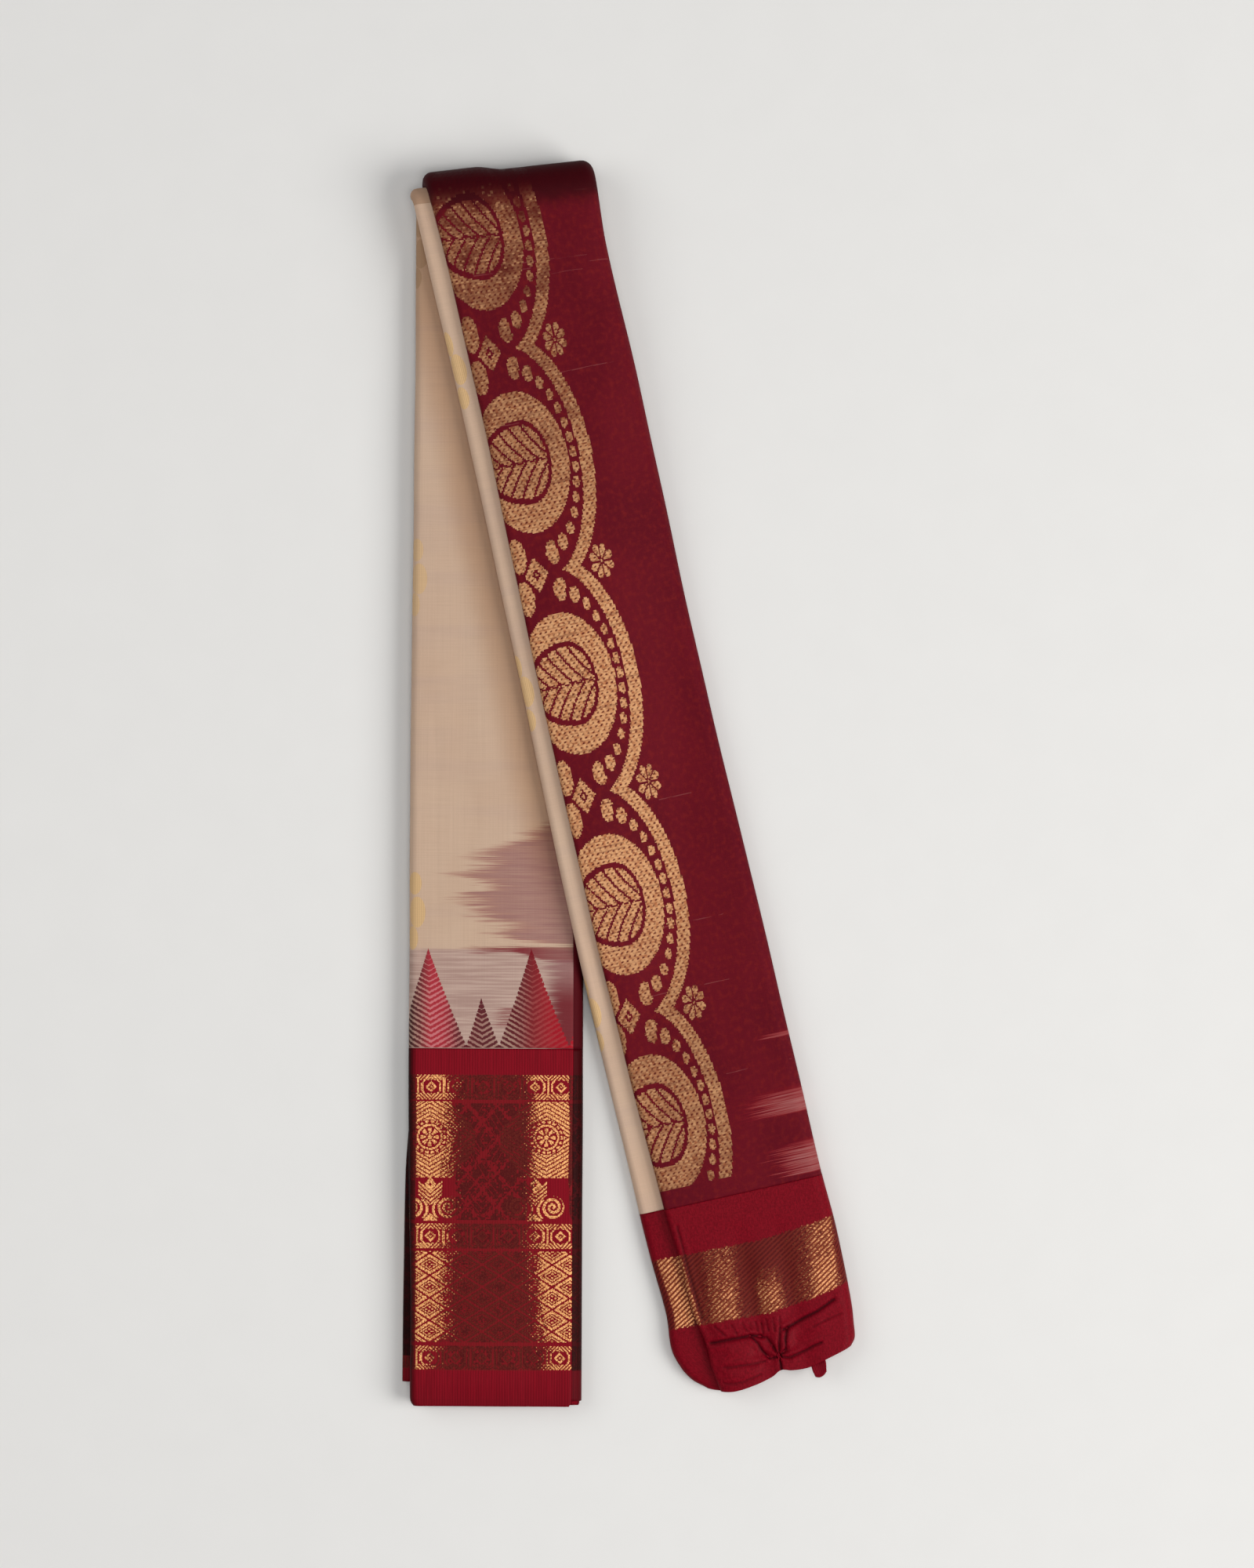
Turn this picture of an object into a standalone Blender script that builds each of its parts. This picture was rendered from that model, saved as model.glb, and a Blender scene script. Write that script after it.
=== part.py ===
"""A gadwal saree, folded lengthwise into a narrow strip, doubled over once and laid flat.

The strip is described by three lengths: across it, along it from the left leg's lower end to
the right leg's lower end, and deep into it from its outer face. place() turns them into a point:
the left leg lies flat, the strip bends over at a slightly tilted crease, and the right leg comes
back down on top of the left one and drops to the floor beside it.
"""
import math
from collections import namedtuple

import bmesh
import bpy

# Thicknesses, in metres
STRIP_THICKNESS = 0.0120
OUTER_BUNDLE = 0.0046
SEAM_GAP = 0.0003
CLOTH_WALL = 0.0011
LAYER_GAP = 0.0005
HIDDEN_MARGIN = CLOTH_WALL + LAYER_GAP

# The strip's path
LEFT_LEG = 0.579
LEFT_LEAN = math.radians(0.308)
CREASE_TILT = math.radians(6.15)
FOLD_INNER_RADIUS = 0.0015
FOLD_RADIUS = FOLD_INNER_RADIUS + STRIP_THICKNESS / 2
FOLD_LENGTH = math.pi * FOLD_RADIUS
RIGHT_START = LEFT_LEG + FOLD_LENGTH
RIGHT_LEG = 0.578
CREASE_POINT = (-0.06000, 0.28082)

# Where the stretches of cloth meet, along the strip
WIDE_BORDER = 0.1715
OUTER_LAYERS_START = 0.011
BODY_SEAM = LEFT_LEG - 0.004
NARROW_BORDER = RIGHT_START + 0.490
STRIP_END = RIGHT_START + RIGHT_LEG

# Roundings of the strip's edges, across it
RIGHT_ROUND = 0.0056
ROLL_ROUND = 0.0035
CREASE_ROUND = OUTER_BUNDLE / 2
ROLL_TURN_UNDER = 0.0170
PALLU_TURN_UNDER = 0.0080
CROWN = 0.0008
LEFT_CROWN_RISES = 0.012
LEFT_CROWN_HOLDS = 0.480
LEFT_CROWN_FALLS = 0.070
RIGHT_CROWN_RISES = 0.060

# Sections turn parallel to the crease this far before the fold, and back again after it
TURN_BEFORE = 0.075
TURN_AFTER = 0.015
TURN_LENGTH = 0.060

# How the right leg lies: clear of the left leg's top, then down to the floor beside it
REST_GAP = 0.0003
FOLD_SETTLES = 0.060
DROP_WIDTH = 0.055
EDGE_INSET = 0.0025
OVERLAP_TIP = 0.227

# Edges across the strip: the cream roll's, the pallu crease's and the right edge's
Edge = namedtuple("Edge", "along roll crease right")
EDGES = (
    Edge(0.000, -0.0385, -0.0450, 0.0390),
    Edge(0.004, -0.0410, -0.0450, 0.0412),
    Edge(0.100, -0.0412, -0.0444, 0.0412),
    Edge(0.140, -0.0412, -0.0410, 0.0412),
    Edge(0.300, -0.0408, -0.0390, 0.0410),
    Edge(LEFT_LEG, -0.0412, -0.0375, 0.0420),
    Edge(LEFT_LEG + FOLD_LENGTH / 2, -0.0445, -0.0358, 0.0432),
    Edge(RIGHT_START, -0.0444, -0.0360, 0.0430),
    Edge(RIGHT_START + 0.030, -0.0442, -0.0352, 0.0412),
    Edge(RIGHT_START + 0.100, -0.0436, -0.0347, 0.0420),
    Edge(RIGHT_START + 0.240, -0.0448, -0.0363, 0.0416),
    Edge(RIGHT_START + 0.375, -0.0460, -0.0359, 0.0437),
    Edge(RIGHT_START + 0.490, -0.0446, -0.0325, 0.0440),
    Edge(RIGHT_START + 0.514, -0.0440, -0.0308, 0.0450),
    Edge(RIGHT_START + 0.540, -0.0427, -0.0304, 0.0446),
    Edge(RIGHT_START + 0.557, -0.0438, -0.0271, 0.0436),
    Edge(RIGHT_START + 0.567, -0.0410, -0.0270, 0.0427),
    Edge(RIGHT_START + 0.573, -0.0374, -0.0260, 0.0424),
    Edge(STRIP_END, -0.0312, -0.0250, 0.0414),
)

# Stretches of the strip that need close sections
CloseZone = namedtuple("CloseZone", "start end spacing")
CLOSE_ZONES = (
    CloseZone(0.000, 0.004, 0.004),
    CloseZone(LEFT_LEG - 0.084, LEFT_LEG - 0.012, 0.018),
    CloseZone(LEFT_LEG - 0.012, RIGHT_START + 0.004, FOLD_LENGTH / 8),
    CloseZone(RIGHT_START + 0.004, RIGHT_START + 0.076, 0.018),
    CloseZone(RIGHT_START + 0.290, RIGHT_START + 0.430, 0.014),
    CloseZone(NARROW_BORDER, STRIP_END - 0.030, 0.012),
    CloseZone(STRIP_END - 0.030, STRIP_END, 0.004),
)

# The right leg's lower edge: how far it runs past the strip's end, by place across
EndEdge = namedtuple("EndEdge", "across past")
END_EDGES = (
    EndEdge(-0.0327, 0.0000),
    EndEdge(-0.0207, 0.0040),
    EndEdge(-0.0087, 0.0034),
    EndEdge(0.0004, 0.0014),
    EndEdge(0.0054, -0.0010),
    EndEdge(0.0104, 0.0002),
    EndEdge(0.0184, 0.0008),
    EndEdge(0.0264, -0.0010),
    EndEdge(0.0424, -0.0050),
)
END_REACH = 0.030

# Soft creases along the pallu's border: where they are across it, how high and how wide
Crease = namedtuple("Crease", "across height half_width")
CREASES = (
    Crease(-0.0252, -0.0009, 0.0035),
    Crease(-0.0147, 0.0009, 0.0090),
    Crease(-0.0017, -0.0010, 0.0050),
    Crease(0.0088, 0.0008, 0.0060),
    Crease(0.0178, -0.0008, 0.0045),
    Crease(0.0303, 0.0009, 0.0090),
)
CREASES_START = NARROW_BORDER + 0.008
CREASES_GROW = 0.032

# The gathers round the tie, as pleats that run out from it
TIE = (0.0057, STRIP_END - 0.0070)
GATHER_COUNT = 9
GATHER_HEIGHT = 0.0006
GATHER_REACH = 0.016
GATHER_ROOT = 0.004
GATHER_FAN_EDGE = -0.3
GATHER_FAN_SOFTNESS = 0.9
TIE_DIMPLE = 0.0014
TIE_DIMPLE_REACH = 0.006

# The hidden layers' ends: ridges, one for each group of folded layers
OUTER_RIDGES = 1
INNER_RIDGES = 4
RIDGE_DEPTH = 0.0022
LAYERS_SET_BACK = 0.0016
TONGUE_SINKS = 0.0008
TONGUE_SINK_LENGTH = 0.020
SLOT_CLEARANCE = 0.0015

# The tie stitch and the loose tab of selvedge
STITCH_LENGTH = 0.0048
STITCH_WIDTH = 0.0022
STITCH_HEIGHT = 0.0014
TAB_ACROSS = 0.0236
TAB_WIDTH = 0.0072
TAB_LENGTH = 0.0058
TAB_THICKNESS = 0.0012
LUMP_UNDERSIDE = 0.3
LUMP_RINGS = 6
LUMP_SIDES = 8

# Sections: spacing along the strip, and points across a face and round an edge
LEG_SPACING = 0.030
WIDE_BORDER_SPACING = 0.024
NARROW_BORDER_SPACING = 0.012
CREASED_SPACING = 0.009
SHORTEST_STEP = 0.0015
CROWNED_COLUMNS = 7
BENT_COLUMNS = 8
FLAT_COLUMNS = 3
CREASED_COLUMNS = 24
LAYER_COLUMNS = 10
CREASE_STEPS = 4
RIGHT_EDGE_STEPS = 7
ROLL_STEPS = 6
SHARP_ANGLE = math.radians(45)

COLOURS = {
    "body": (0.46, 0.33, 0.20, 1.0),
    "pallu": (0.12, 0.008, 0.014, 1.0),
    "border": (0.30, 0.012, 0.028, 1.0),
    "layers": (0.24, 0.015, 0.025, 1.0),
}
CLOTH_ROUGHNESS = 0.75
SILK_ROUGHNESS = 0.5


def smooth_step(value):
    """0 below 0, 1 above 1, and a smooth rise between."""
    value = min(max(value, 0.0), 1.0)
    return value * value * (3 - 2 * value)


def smooth_curve(rows, at):
    """A row of a table at a place in its first column, on a smooth curve through its rows."""
    if at <= rows[0][0]:
        return rows[0]
    if at >= rows[-1][0]:
        return rows[-1]
    number = sum(row[0] <= at for row in rows) - 1
    start, end = rows[number], rows[number + 1]
    before = rows[max(number - 1, 0)]
    after = rows[min(number + 2, len(rows) - 1)]
    span = end[0] - start[0]
    part = (at - start[0]) / span
    part2, part3 = part * part, part * part * part
    values = []
    for column in range(len(start)):
        slope_in = (end[column] - before[column]) / (end[0] - before[0])
        slope_out = (after[column] - start[column]) / (after[0] - start[0])
        values.append(
            (2 * part3 - 3 * part2 + 1) * start[column]
            + (part3 - 2 * part2 + part) * span * slope_in
            + (3 * part2 - 2 * part3) * end[column]
            + (part3 - part2) * span * slope_out
        )
    return type(start)(*values)


LEFT_ANGLE = math.pi / 2 - LEFT_LEAN
LEFT_DIRECTION = (math.cos(LEFT_ANGLE), math.sin(LEFT_ANGLE))
LEFT_ACROSS = (LEFT_DIRECTION[1], -LEFT_DIRECTION[0])
CREASE_DIRECTION = (math.cos(CREASE_TILT), math.sin(CREASE_TILT))
OVER_CREASE = (-CREASE_DIRECTION[1], CREASE_DIRECTION[0])
RING_SHEAR = math.tan(CREASE_TILT + LEFT_LEAN)


def bell(across, along):
    """1 along the strip's middle, falling to 0 at its edges."""
    edge = smooth_curve(EDGES, along)
    middle, half = (edge.roll + edge.right) / 2, (edge.right - edge.roll) / 2
    return max(0.0, 1 - ((across - middle) / half) ** 2)


def left_crown(across, along):
    """How much the left leg's upper face is crowned."""
    rise = smooth_step(along / LEFT_CROWN_RISES)
    rise *= 1 - smooth_step((along - LEFT_CROWN_HOLDS) / LEFT_CROWN_FALLS)
    return CROWN * rise * bell(across, along)


def right_crown(across, along):
    """How much the right leg's upper face is crowned."""
    rise = smooth_step((along - RIGHT_START) / RIGHT_CROWN_RISES)
    return CROWN * rise * bell(across, along)


def creases(across, along):
    """Height of the soft creases in the pallu's border, with the dimple at the tie."""
    grown = smooth_step((along - CREASES_START) / CREASES_GROW)
    from_tie = math.hypot(across - TIE[0], along - TIE[1])
    height = -TIE_DIMPLE * math.exp(-((from_tie / TIE_DIMPLE_REACH) ** 2))
    for crease in CREASES:
        height += crease.height * math.exp(-(((across - crease.across) / crease.half_width) ** 2))
    return height * grown


def gathers(across, along):
    """Height of the pleats that run out from the tie, on the pallu's border alone."""
    from_tie = math.hypot(across - TIE[0], along - TIE[1])
    turn = math.atan2(across - TIE[0], TIE[1] - along)
    near = math.exp(-((from_tie / GATHER_REACH) ** 2)) * smooth_step(from_tie / GATHER_ROOT)
    above = smooth_step((math.cos(turn) - GATHER_FAN_EDGE) / GATHER_FAN_SOFTNESS)
    return GATHER_HEIGHT * near * above * math.cos(GATHER_COUNT * turn)


def in_left_leg(x, y):
    """Across and along, on the left leg, of a point of the floor."""
    x, y = x - CREASE_POINT[0], y - CREASE_POINT[1]
    across = x * LEFT_ACROSS[0] + y * LEFT_ACROSS[1]
    along = LEFT_LEG + x * LEFT_DIRECTION[0] + y * LEFT_DIRECTION[1]
    return across, along


def underside(x, y, from_fold):
    """Height of the right leg's underside over a point of the floor."""
    across, along = in_left_leg(x, y)
    edge = smooth_curve(EDGES, min(along, LEFT_LEG)).right - EDGE_INSET
    away = math.hypot(max(across - edge, 0.0), max(OVERLAP_TIP - along, 0.0))
    held = 1 - smooth_step(away / DROP_WIDTH)
    on_left = STRIP_THICKNESS + left_crown(across, along) + REST_GAP
    loose = (2 * FOLD_INNER_RADIUS - REST_GAP) * (1 - smooth_step(from_fold / FOLD_SETTLES))
    return on_left * held + loose


def place(across, along, deep, gathered=True):
    """The point of the folded strip at three lengths of the strip."""
    near_fold = smooth_step((along - LEFT_LEG + TURN_BEFORE) / TURN_LENGTH)
    near_fold *= 1 - smooth_step((along - RIGHT_START - TURN_AFTER) / TURN_LENGTH)
    at_end = smooth_step((along - STRIP_END + END_REACH) / END_REACH)
    inner_part = deep / STRIP_THICKNESS
    raised = left_crown(across, along) * inner_part
    lifted = right_crown(across, along) * (1 - inner_part)
    creased = creases(across, along) + (gathers(across, along) if gathered else 0.0)
    lifted += creased * max(0.0, 1 - deep / OUTER_BUNDLE)
    deep = deep + raised - lifted
    along += across * RING_SHEAR * near_fold
    along += smooth_curve(END_EDGES, across).past * at_end
    ahead = along - LEFT_LEG
    x = ahead * LEFT_DIRECTION[0] + across * LEFT_ACROSS[0]
    y = ahead * LEFT_DIRECTION[1] + across * LEFT_ACROSS[1]
    over = x * OVER_CREASE[0] + y * OVER_CREASE[1]
    if over <= 0:
        return x + CREASE_POINT[0], y + CREASE_POINT[1], deep
    turn = min(over / FOLD_RADIUS, math.pi)
    radius = FOLD_INNER_RADIUS + STRIP_THICKNESS - deep
    back = max(over - FOLD_LENGTH, 0.0)
    reach = radius * math.sin(turn) if turn < math.pi else 0.0
    x += (reach - over - back) * OVER_CREASE[0] + CREASE_POINT[0]
    y += (reach - over - back) * OVER_CREASE[1] + CREASE_POINT[1]
    if back == 0:
        return x, y, STRIP_THICKNESS + FOLD_INNER_RADIUS - radius * math.cos(turn)
    return x, y, underside(x, y, back) + STRIP_THICKNESS - deep


def steps(start, end, count):
    """count + 1 evenly spaced values from start to end."""
    return [start + (end - start) * number / count for number in range(count + 1)]


def arc(middle, radii, first, last, count):
    """Points of an elliptical arc, as pairs of across and deep, by angles in degrees."""
    turns = steps(math.radians(first), math.radians(last), count)
    across, deep = middle
    return [(across + radii[0] * math.cos(t), deep + radii[1] * math.sin(t)) for t in turns]


def pallu_line(along, margin, columns):
    """The pallu's cross-section, from its turned-under edge round the crease to the right edge."""
    edge = smooth_curve(EDGES, along)
    radius = CREASE_ROUND - margin
    start, end = edge.crease + CREASE_ROUND, edge.right - RIGHT_ROUND
    line = [(edge.crease + PALLU_TURN_UNDER, OUTER_BUNDLE - margin)]
    line += arc((start, CREASE_ROUND), (radius, radius), 90, 270, CREASE_STEPS)
    line += [(value, margin) for value in steps(start, end, columns)[1:-1]]
    half = STRIP_THICKNESS / 2
    radii = (RIGHT_ROUND - margin, half - margin)
    line += arc((end, half), radii, -90, 90, RIGHT_EDGE_STEPS)
    return line


def body_line(along, margin, columns):
    """The body's cross-section, from beside the right edge's wrap round the roll and under it."""
    edge = smooth_curve(EDGES, along)
    start, end = edge.right - RIGHT_ROUND - SEAM_GAP, edge.roll + ROLL_ROUND
    line = [(value, STRIP_THICKNESS - margin) for value in steps(start, end, columns)[:-1]]
    low = OUTER_BUNDLE + SEAM_GAP
    half = (STRIP_THICKNESS - low) / 2
    radii = (ROLL_ROUND - margin, half - margin)
    line += arc((end, low + half), radii, 90, 270, ROLL_STEPS)
    line += [(end + (ROLL_TURN_UNDER - ROLL_ROUND) * part, low + margin) for part in (0.5, 1.0)]
    return line


def stations(start, end, spacing):
    """Places along the strip from start to end, closer together in the close zones."""
    marks = [start]
    while marks[-1] < end - 1e-6:
        here = marks[-1]
        step = spacing
        for zone in CLOSE_ZONES:
            if zone.start < here + 1e-6 and here < zone.end - 1e-6:
                step = min(spacing, zone.spacing)
            elif here < zone.start < here + step:
                step = zone.start - here
        marks.append(min(here + step, end))
    if len(marks) > 2 and marks[-1] - marks[-2] < SHORTEST_STEP:
        del marks[-2]
    return marks


def make_object(name, colour, roughness, points, faces):
    """A closed solid of its own colour, from points of the strip and faces between them."""
    mesh = bpy.data.meshes.new(name)
    mesh.from_pydata(points, [], faces)
    shape = bmesh.new()
    shape.from_mesh(mesh)
    bmesh.ops.triangulate(shape, faces=shape.faces[:])
    bmesh.ops.recalc_face_normals(shape, faces=shape.faces[:])
    shape.to_mesh(mesh)
    shape.free()
    mesh.shade_smooth()
    mesh.set_sharp_from_angle(angle=SHARP_ANGLE)
    material = bpy.data.materials.new(name)
    material.use_nodes = True
    shader = material.node_tree.nodes["Principled BSDF"]
    shader.inputs["Base Color"].default_value = COLOURS[colour]
    shader.inputs["Roughness"].default_value = roughness
    shader.inputs["Metallic"].default_value = 0.0
    mesh.materials.append(material)
    thing = bpy.data.objects.new(name, mesh)
    bpy.context.scene.collection.objects.link(thing)
    return thing


def cloth_wall(name, colour, roughness, line, start, end, spacing, columns):
    """A wall of cloth: a cross-section line with a wall's thickness, swept along the strip."""
    points, faces = [], []
    marks = stations(start, end, spacing)
    for along in marks:
        outer = line(along, 0.0, columns)
        inner = line(along, CLOTH_WALL, columns)
        ring = outer + inner[::-1]
        points += [place(across, along, deep) for across, deep in ring]
    size = len(ring)
    half = size // 2
    for number in range(len(marks) - 1):
        first = number * size
        for spot in range(size):
            beside = (spot + 1) % size
            faces.append((first + spot, first + beside, first + size + beside, first + size + spot))
    for first in (0, (len(marks) - 1) * size):
        for spot in range(half - 1):
            across = (first + size - 1 - spot, first + size - 2 - spot)
            faces.append((first + spot, first + spot + 1, across[1], across[0]))
    return make_object(name, colour, roughness, points, faces)


def layer_levels(along):
    """The hidden layers' rows: depth, whether it is a groove's root, whether it reaches out."""
    low = OUTER_BUNDLE - HIDDEN_MARGIN
    sunk = smooth_step((along - NARROW_BORDER) / TONGUE_SINK_LENGTH + 0.5)
    first = HIDDEN_MARGIN + TONGUE_SINKS * sunk
    turned = OUTER_BUNDLE + SEAM_GAP + HIDDEN_MARGIN
    top = STRIP_THICKNESS - HIDDEN_MARGIN
    outer = steps(first, low, 2 * OUTER_RIDGES)
    inner = steps(turned, top, 2 * INNER_RIDGES)
    levels = [(deep, number % 2 == 0, True) for number, deep in enumerate(outer)]
    levels.append((low + SEAM_GAP / 2, True, False))
    levels.append((turned - SEAM_GAP / 2, True, False))
    levels += [(deep, number % 2 == 0, True) for number, deep in enumerate(inner)]
    return levels


def hidden_row(along, deep, reaches_out):
    """The left and right ends of a row of the hidden layers."""
    edge = smooth_curve(EDGES, along)
    half = STRIP_THICKNESS / 2
    rise = min(1.0, abs(deep - half) / (half - HIDDEN_MARGIN))
    bulge = (RIGHT_ROUND - HIDDEN_MARGIN) * math.sqrt(1 - rise * rise)
    end = edge.right - RIGHT_ROUND + bulge
    if not reaches_out:
        turned = max(edge.roll + ROLL_TURN_UNDER, edge.crease + PALLU_TURN_UNDER)
        return turned + SLOT_CLEARANCE, end
    if deep < OUTER_BUNDLE:
        return edge.crease + CREASE_ROUND, end
    low = OUTER_BUNDLE + SEAM_GAP
    half = (STRIP_THICKNESS - low) / 2
    rise = min(1.0, abs(deep - low - half) / (half - HIDDEN_MARGIN))
    bulge = (ROLL_ROUND - HIDDEN_MARGIN) * math.sqrt(1 - rise * rise)
    return edge.roll + ROLL_ROUND - bulge, end


def hidden_layers(name, colour, roughness, spacing, columns):
    """The layers that the folds hide, as one rounded solid with ridged ends."""
    start = LAYERS_SET_BACK
    end = STRIP_END - LAYERS_SET_BACK
    marks = stations(start, end, spacing)
    points, faces, number_of = [], [], {}
    last_mark, last_level = len(marks) - 1, len(layer_levels(start)) - 1

    def shows(mark, level, column):
        return mark in (0, last_mark) or level in (0, last_level) or column in (0, columns)

    for mark, along in enumerate(marks):
        for level, (deep, groove, reaches_out) in enumerate(layer_levels(along)):
            here = along
            if groove and mark in (0, last_mark):
                here += RIDGE_DEPTH if mark == 0 else -RIDGE_DEPTH
            if mark == 0 and deep < OUTER_BUNDLE:
                here += OUTER_LAYERS_START
            if mark == 1:
                here = max(here, start + OUTER_LAYERS_START + 2 * RIDGE_DEPTH)
            low, high = hidden_row(here, deep, reaches_out)
            for column, across in enumerate(steps(low, high, columns)):
                if shows(mark, level, column):
                    number_of[mark, level, column] = len(points)
                    points.append(place(across, here, deep, gathered=False))

    def add_face(*corners):
        faces.append(tuple(number_of[corner] for corner in corners))

    for mark in range(last_mark):
        for column in range(columns):
            for level in (0, last_level):
                add_face(
                    (mark, level, column),
                    (mark, level, column + 1),
                    (mark + 1, level, column + 1),
                    (mark + 1, level, column),
                )
        for level in range(last_level):
            for column in (0, columns):
                add_face(
                    (mark, level, column),
                    (mark, level + 1, column),
                    (mark + 1, level + 1, column),
                    (mark + 1, level, column),
                )
    for mark in (0, last_mark):
        for level in range(last_level):
            for column in range(columns):
                add_face(
                    (mark, level, column),
                    (mark, level, column + 1),
                    (mark, level + 1, column + 1),
                    (mark, level + 1, column),
                )
    return make_object(name, colour, roughness, points, faces)


def rounded_lump(name, colour, roughness, middle, size):
    """A small rounded lump on the strip, flattened on its lower side."""
    across, along, deep = middle
    rings, sides = LUMP_RINGS, LUMP_SIDES
    points = [place(across, along + size[1] * end / 2, deep) for end in (-1, 1)]
    faces = []
    for ring in range(1, rings):
        turn = math.pi * ring / rings
        for side in range(sides):
            lean = 2 * math.pi * side / sides
            high = math.sin(turn) * math.sin(lean) * size[2]
            high *= 1.0 if high > 0 else LUMP_UNDERSIDE
            points.append(
                place(
                    across + math.sin(turn) * math.cos(lean) * size[0] / 2,
                    along - math.cos(turn) * size[1] / 2,
                    deep - high,
                )
            )
    last = 2 + (rings - 2) * sides
    for side in range(sides):
        beside = (side + 1) % sides
        faces.append((0, 2 + side, 2 + beside))
        faces.append((1, last + beside, last + side))
        for ring in range(rings - 2):
            low = 2 + ring * sides
            faces.append((low + side, low + sides + side, low + sides + beside, low + beside))
    return make_object(name, colour, roughness, points, faces)


def build():
    """Builds every stretch of the saree."""
    for thing in list(bpy.data.objects):
        bpy.data.objects.remove(thing)
    wide = (0.0, WIDE_BORDER, WIDE_BORDER_SPACING)
    wide_outer = (OUTER_LAYERS_START, WIDE_BORDER, WIDE_BORDER_SPACING)
    left = (WIDE_BORDER + SEAM_GAP, BODY_SEAM, LEG_SPACING)
    over = (BODY_SEAM + SEAM_GAP, NARROW_BORDER, LEG_SPACING)
    creased = (NARROW_BORDER + SEAM_GAP, STRIP_END, CREASED_SPACING)
    narrow = (NARROW_BORDER + SEAM_GAP, STRIP_END, NARROW_BORDER_SPACING)
    border = ("border", SILK_ROUGHNESS)
    body = ("body", CLOTH_ROUGHNESS)
    pallu = ("pallu", SILK_ROUGHNESS)
    cloth_wall("wide_border", *border, body_line, *wide, CROWNED_COLUMNS)
    cloth_wall("wide_border_outer", *border, pallu_line, *wide_outer, FLAT_COLUMNS)
    cloth_wall("body_left", *body, body_line, *left, CROWNED_COLUMNS)
    cloth_wall("pallu_under", *pallu, pallu_line, *left, FLAT_COLUMNS)
    cloth_wall("pallu", *pallu, pallu_line, *over, CROWNED_COLUMNS)
    cloth_wall("body_roll", *body, body_line, *over, BENT_COLUMNS)
    cloth_wall("narrow_border_pallu", *border, pallu_line, *creased, CREASED_COLUMNS)
    cloth_wall("narrow_border_roll", *border, body_line, *narrow, FLAT_COLUMNS)
    hidden_layers("hidden_layers", "layers", SILK_ROUGHNESS, LEG_SPACING, LAYER_COLUMNS)
    above = -SEAM_GAP - STITCH_HEIGHT * LUMP_UNDERSIDE
    stitch_size = (STITCH_WIDTH, STITCH_LENGTH, STITCH_HEIGHT)
    rounded_lump("tie_stitch", *border, (TIE[0], TIE[1], above), stitch_size)
    tab_middle = (TAB_ACROSS, STRIP_END + SEAM_GAP + TAB_LENGTH / 2, CLOTH_WALL)
    rounded_lump("selvedge_tab", *border, tab_middle, (TAB_WIDTH, TAB_LENGTH, TAB_THICKNESS))


build()
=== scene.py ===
"""The looks of a gadwal saree, folded lengthwise into a narrow strip, doubled over and laid flat.

Every stretch of cloth that shows is a thin shell on the form of its solid, with its own soft
creases. The shells carry a map of the cloth's own lengths in millimetres, across the strip and
along it, and the finishes weave their patterns on that map.
"""

import logging
import math
from dataclasses import dataclass
from enum import Enum
from functools import reduce
from typing import Callable, Optional, Sequence, Union

import bmesh
import bpy
import numpy as np
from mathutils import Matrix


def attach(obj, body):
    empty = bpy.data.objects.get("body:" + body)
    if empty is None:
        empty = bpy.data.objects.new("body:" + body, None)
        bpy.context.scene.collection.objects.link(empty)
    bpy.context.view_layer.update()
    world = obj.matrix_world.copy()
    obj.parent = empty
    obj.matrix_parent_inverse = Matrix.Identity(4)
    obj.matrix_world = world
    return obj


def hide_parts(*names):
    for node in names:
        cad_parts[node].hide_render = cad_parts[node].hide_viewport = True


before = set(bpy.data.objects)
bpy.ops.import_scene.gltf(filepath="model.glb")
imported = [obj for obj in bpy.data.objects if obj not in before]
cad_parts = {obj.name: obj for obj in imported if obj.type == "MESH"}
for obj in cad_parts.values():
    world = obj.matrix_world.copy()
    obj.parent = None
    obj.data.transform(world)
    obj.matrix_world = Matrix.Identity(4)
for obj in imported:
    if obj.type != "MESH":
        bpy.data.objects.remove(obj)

MM = 0.001
CLOTH_MAP = "cloth"
SHADOW = "fold_shadow"
BODY = "root"
GAP_BEFORE = (0.1 * MM, 0.0)
GAP_AFTER = (0.0, 0.1 * MM)
TURN = 2 * math.pi
Grid = np.ndarray
Object = bpy.types.Object
Material = bpy.types.Material
Socket = bpy.types.NodeSocket
Pair = tuple[float, float]
Colour = tuple[float, float, float, float]
Points = tuple[Pair, ...]
Rows = tuple[tuple[float, ...], ...]
ColourPoints = tuple[tuple[float, Colour], ...]
Value = Union["Number", float]
Settings = Optional[dict]


def rise(value: Grid) -> Grid:
    """A smooth rise from 0 to 1.

    Args:
        value: Numbers of any size.

    Returns:
        0 below 0, 1 above 1, and a smooth rise between.
    """
    value = np.clip(value, 0.0, 1.0)
    return value * value * (3 - 2 * value)


def unit(vectors: Grid) -> Grid:
    """Vectors made one long."""
    return vectors / np.maximum(np.linalg.norm(vectors, axis=-1, keepdims=True), 1e-12)


def srgb(red: int, green: int, blue: int) -> Colour:
    """A colour as a dyer's card gives it, in steps of 255, turned into Blender's linear values.

    Args:
        red: Red, 0 to 255.
        green: Green, 0 to 255.
        blue: Blue, 0 to 255.

    Returns:
        The linear colour with full alpha.
    """
    parts = [value / 255 for value in (red, green, blue)]
    linear = [p / 12.92 if p <= 0.04045 else ((p + 0.055) / 1.055) ** 2.4 for p in parts]
    return (*linear, 1.0)


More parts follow.
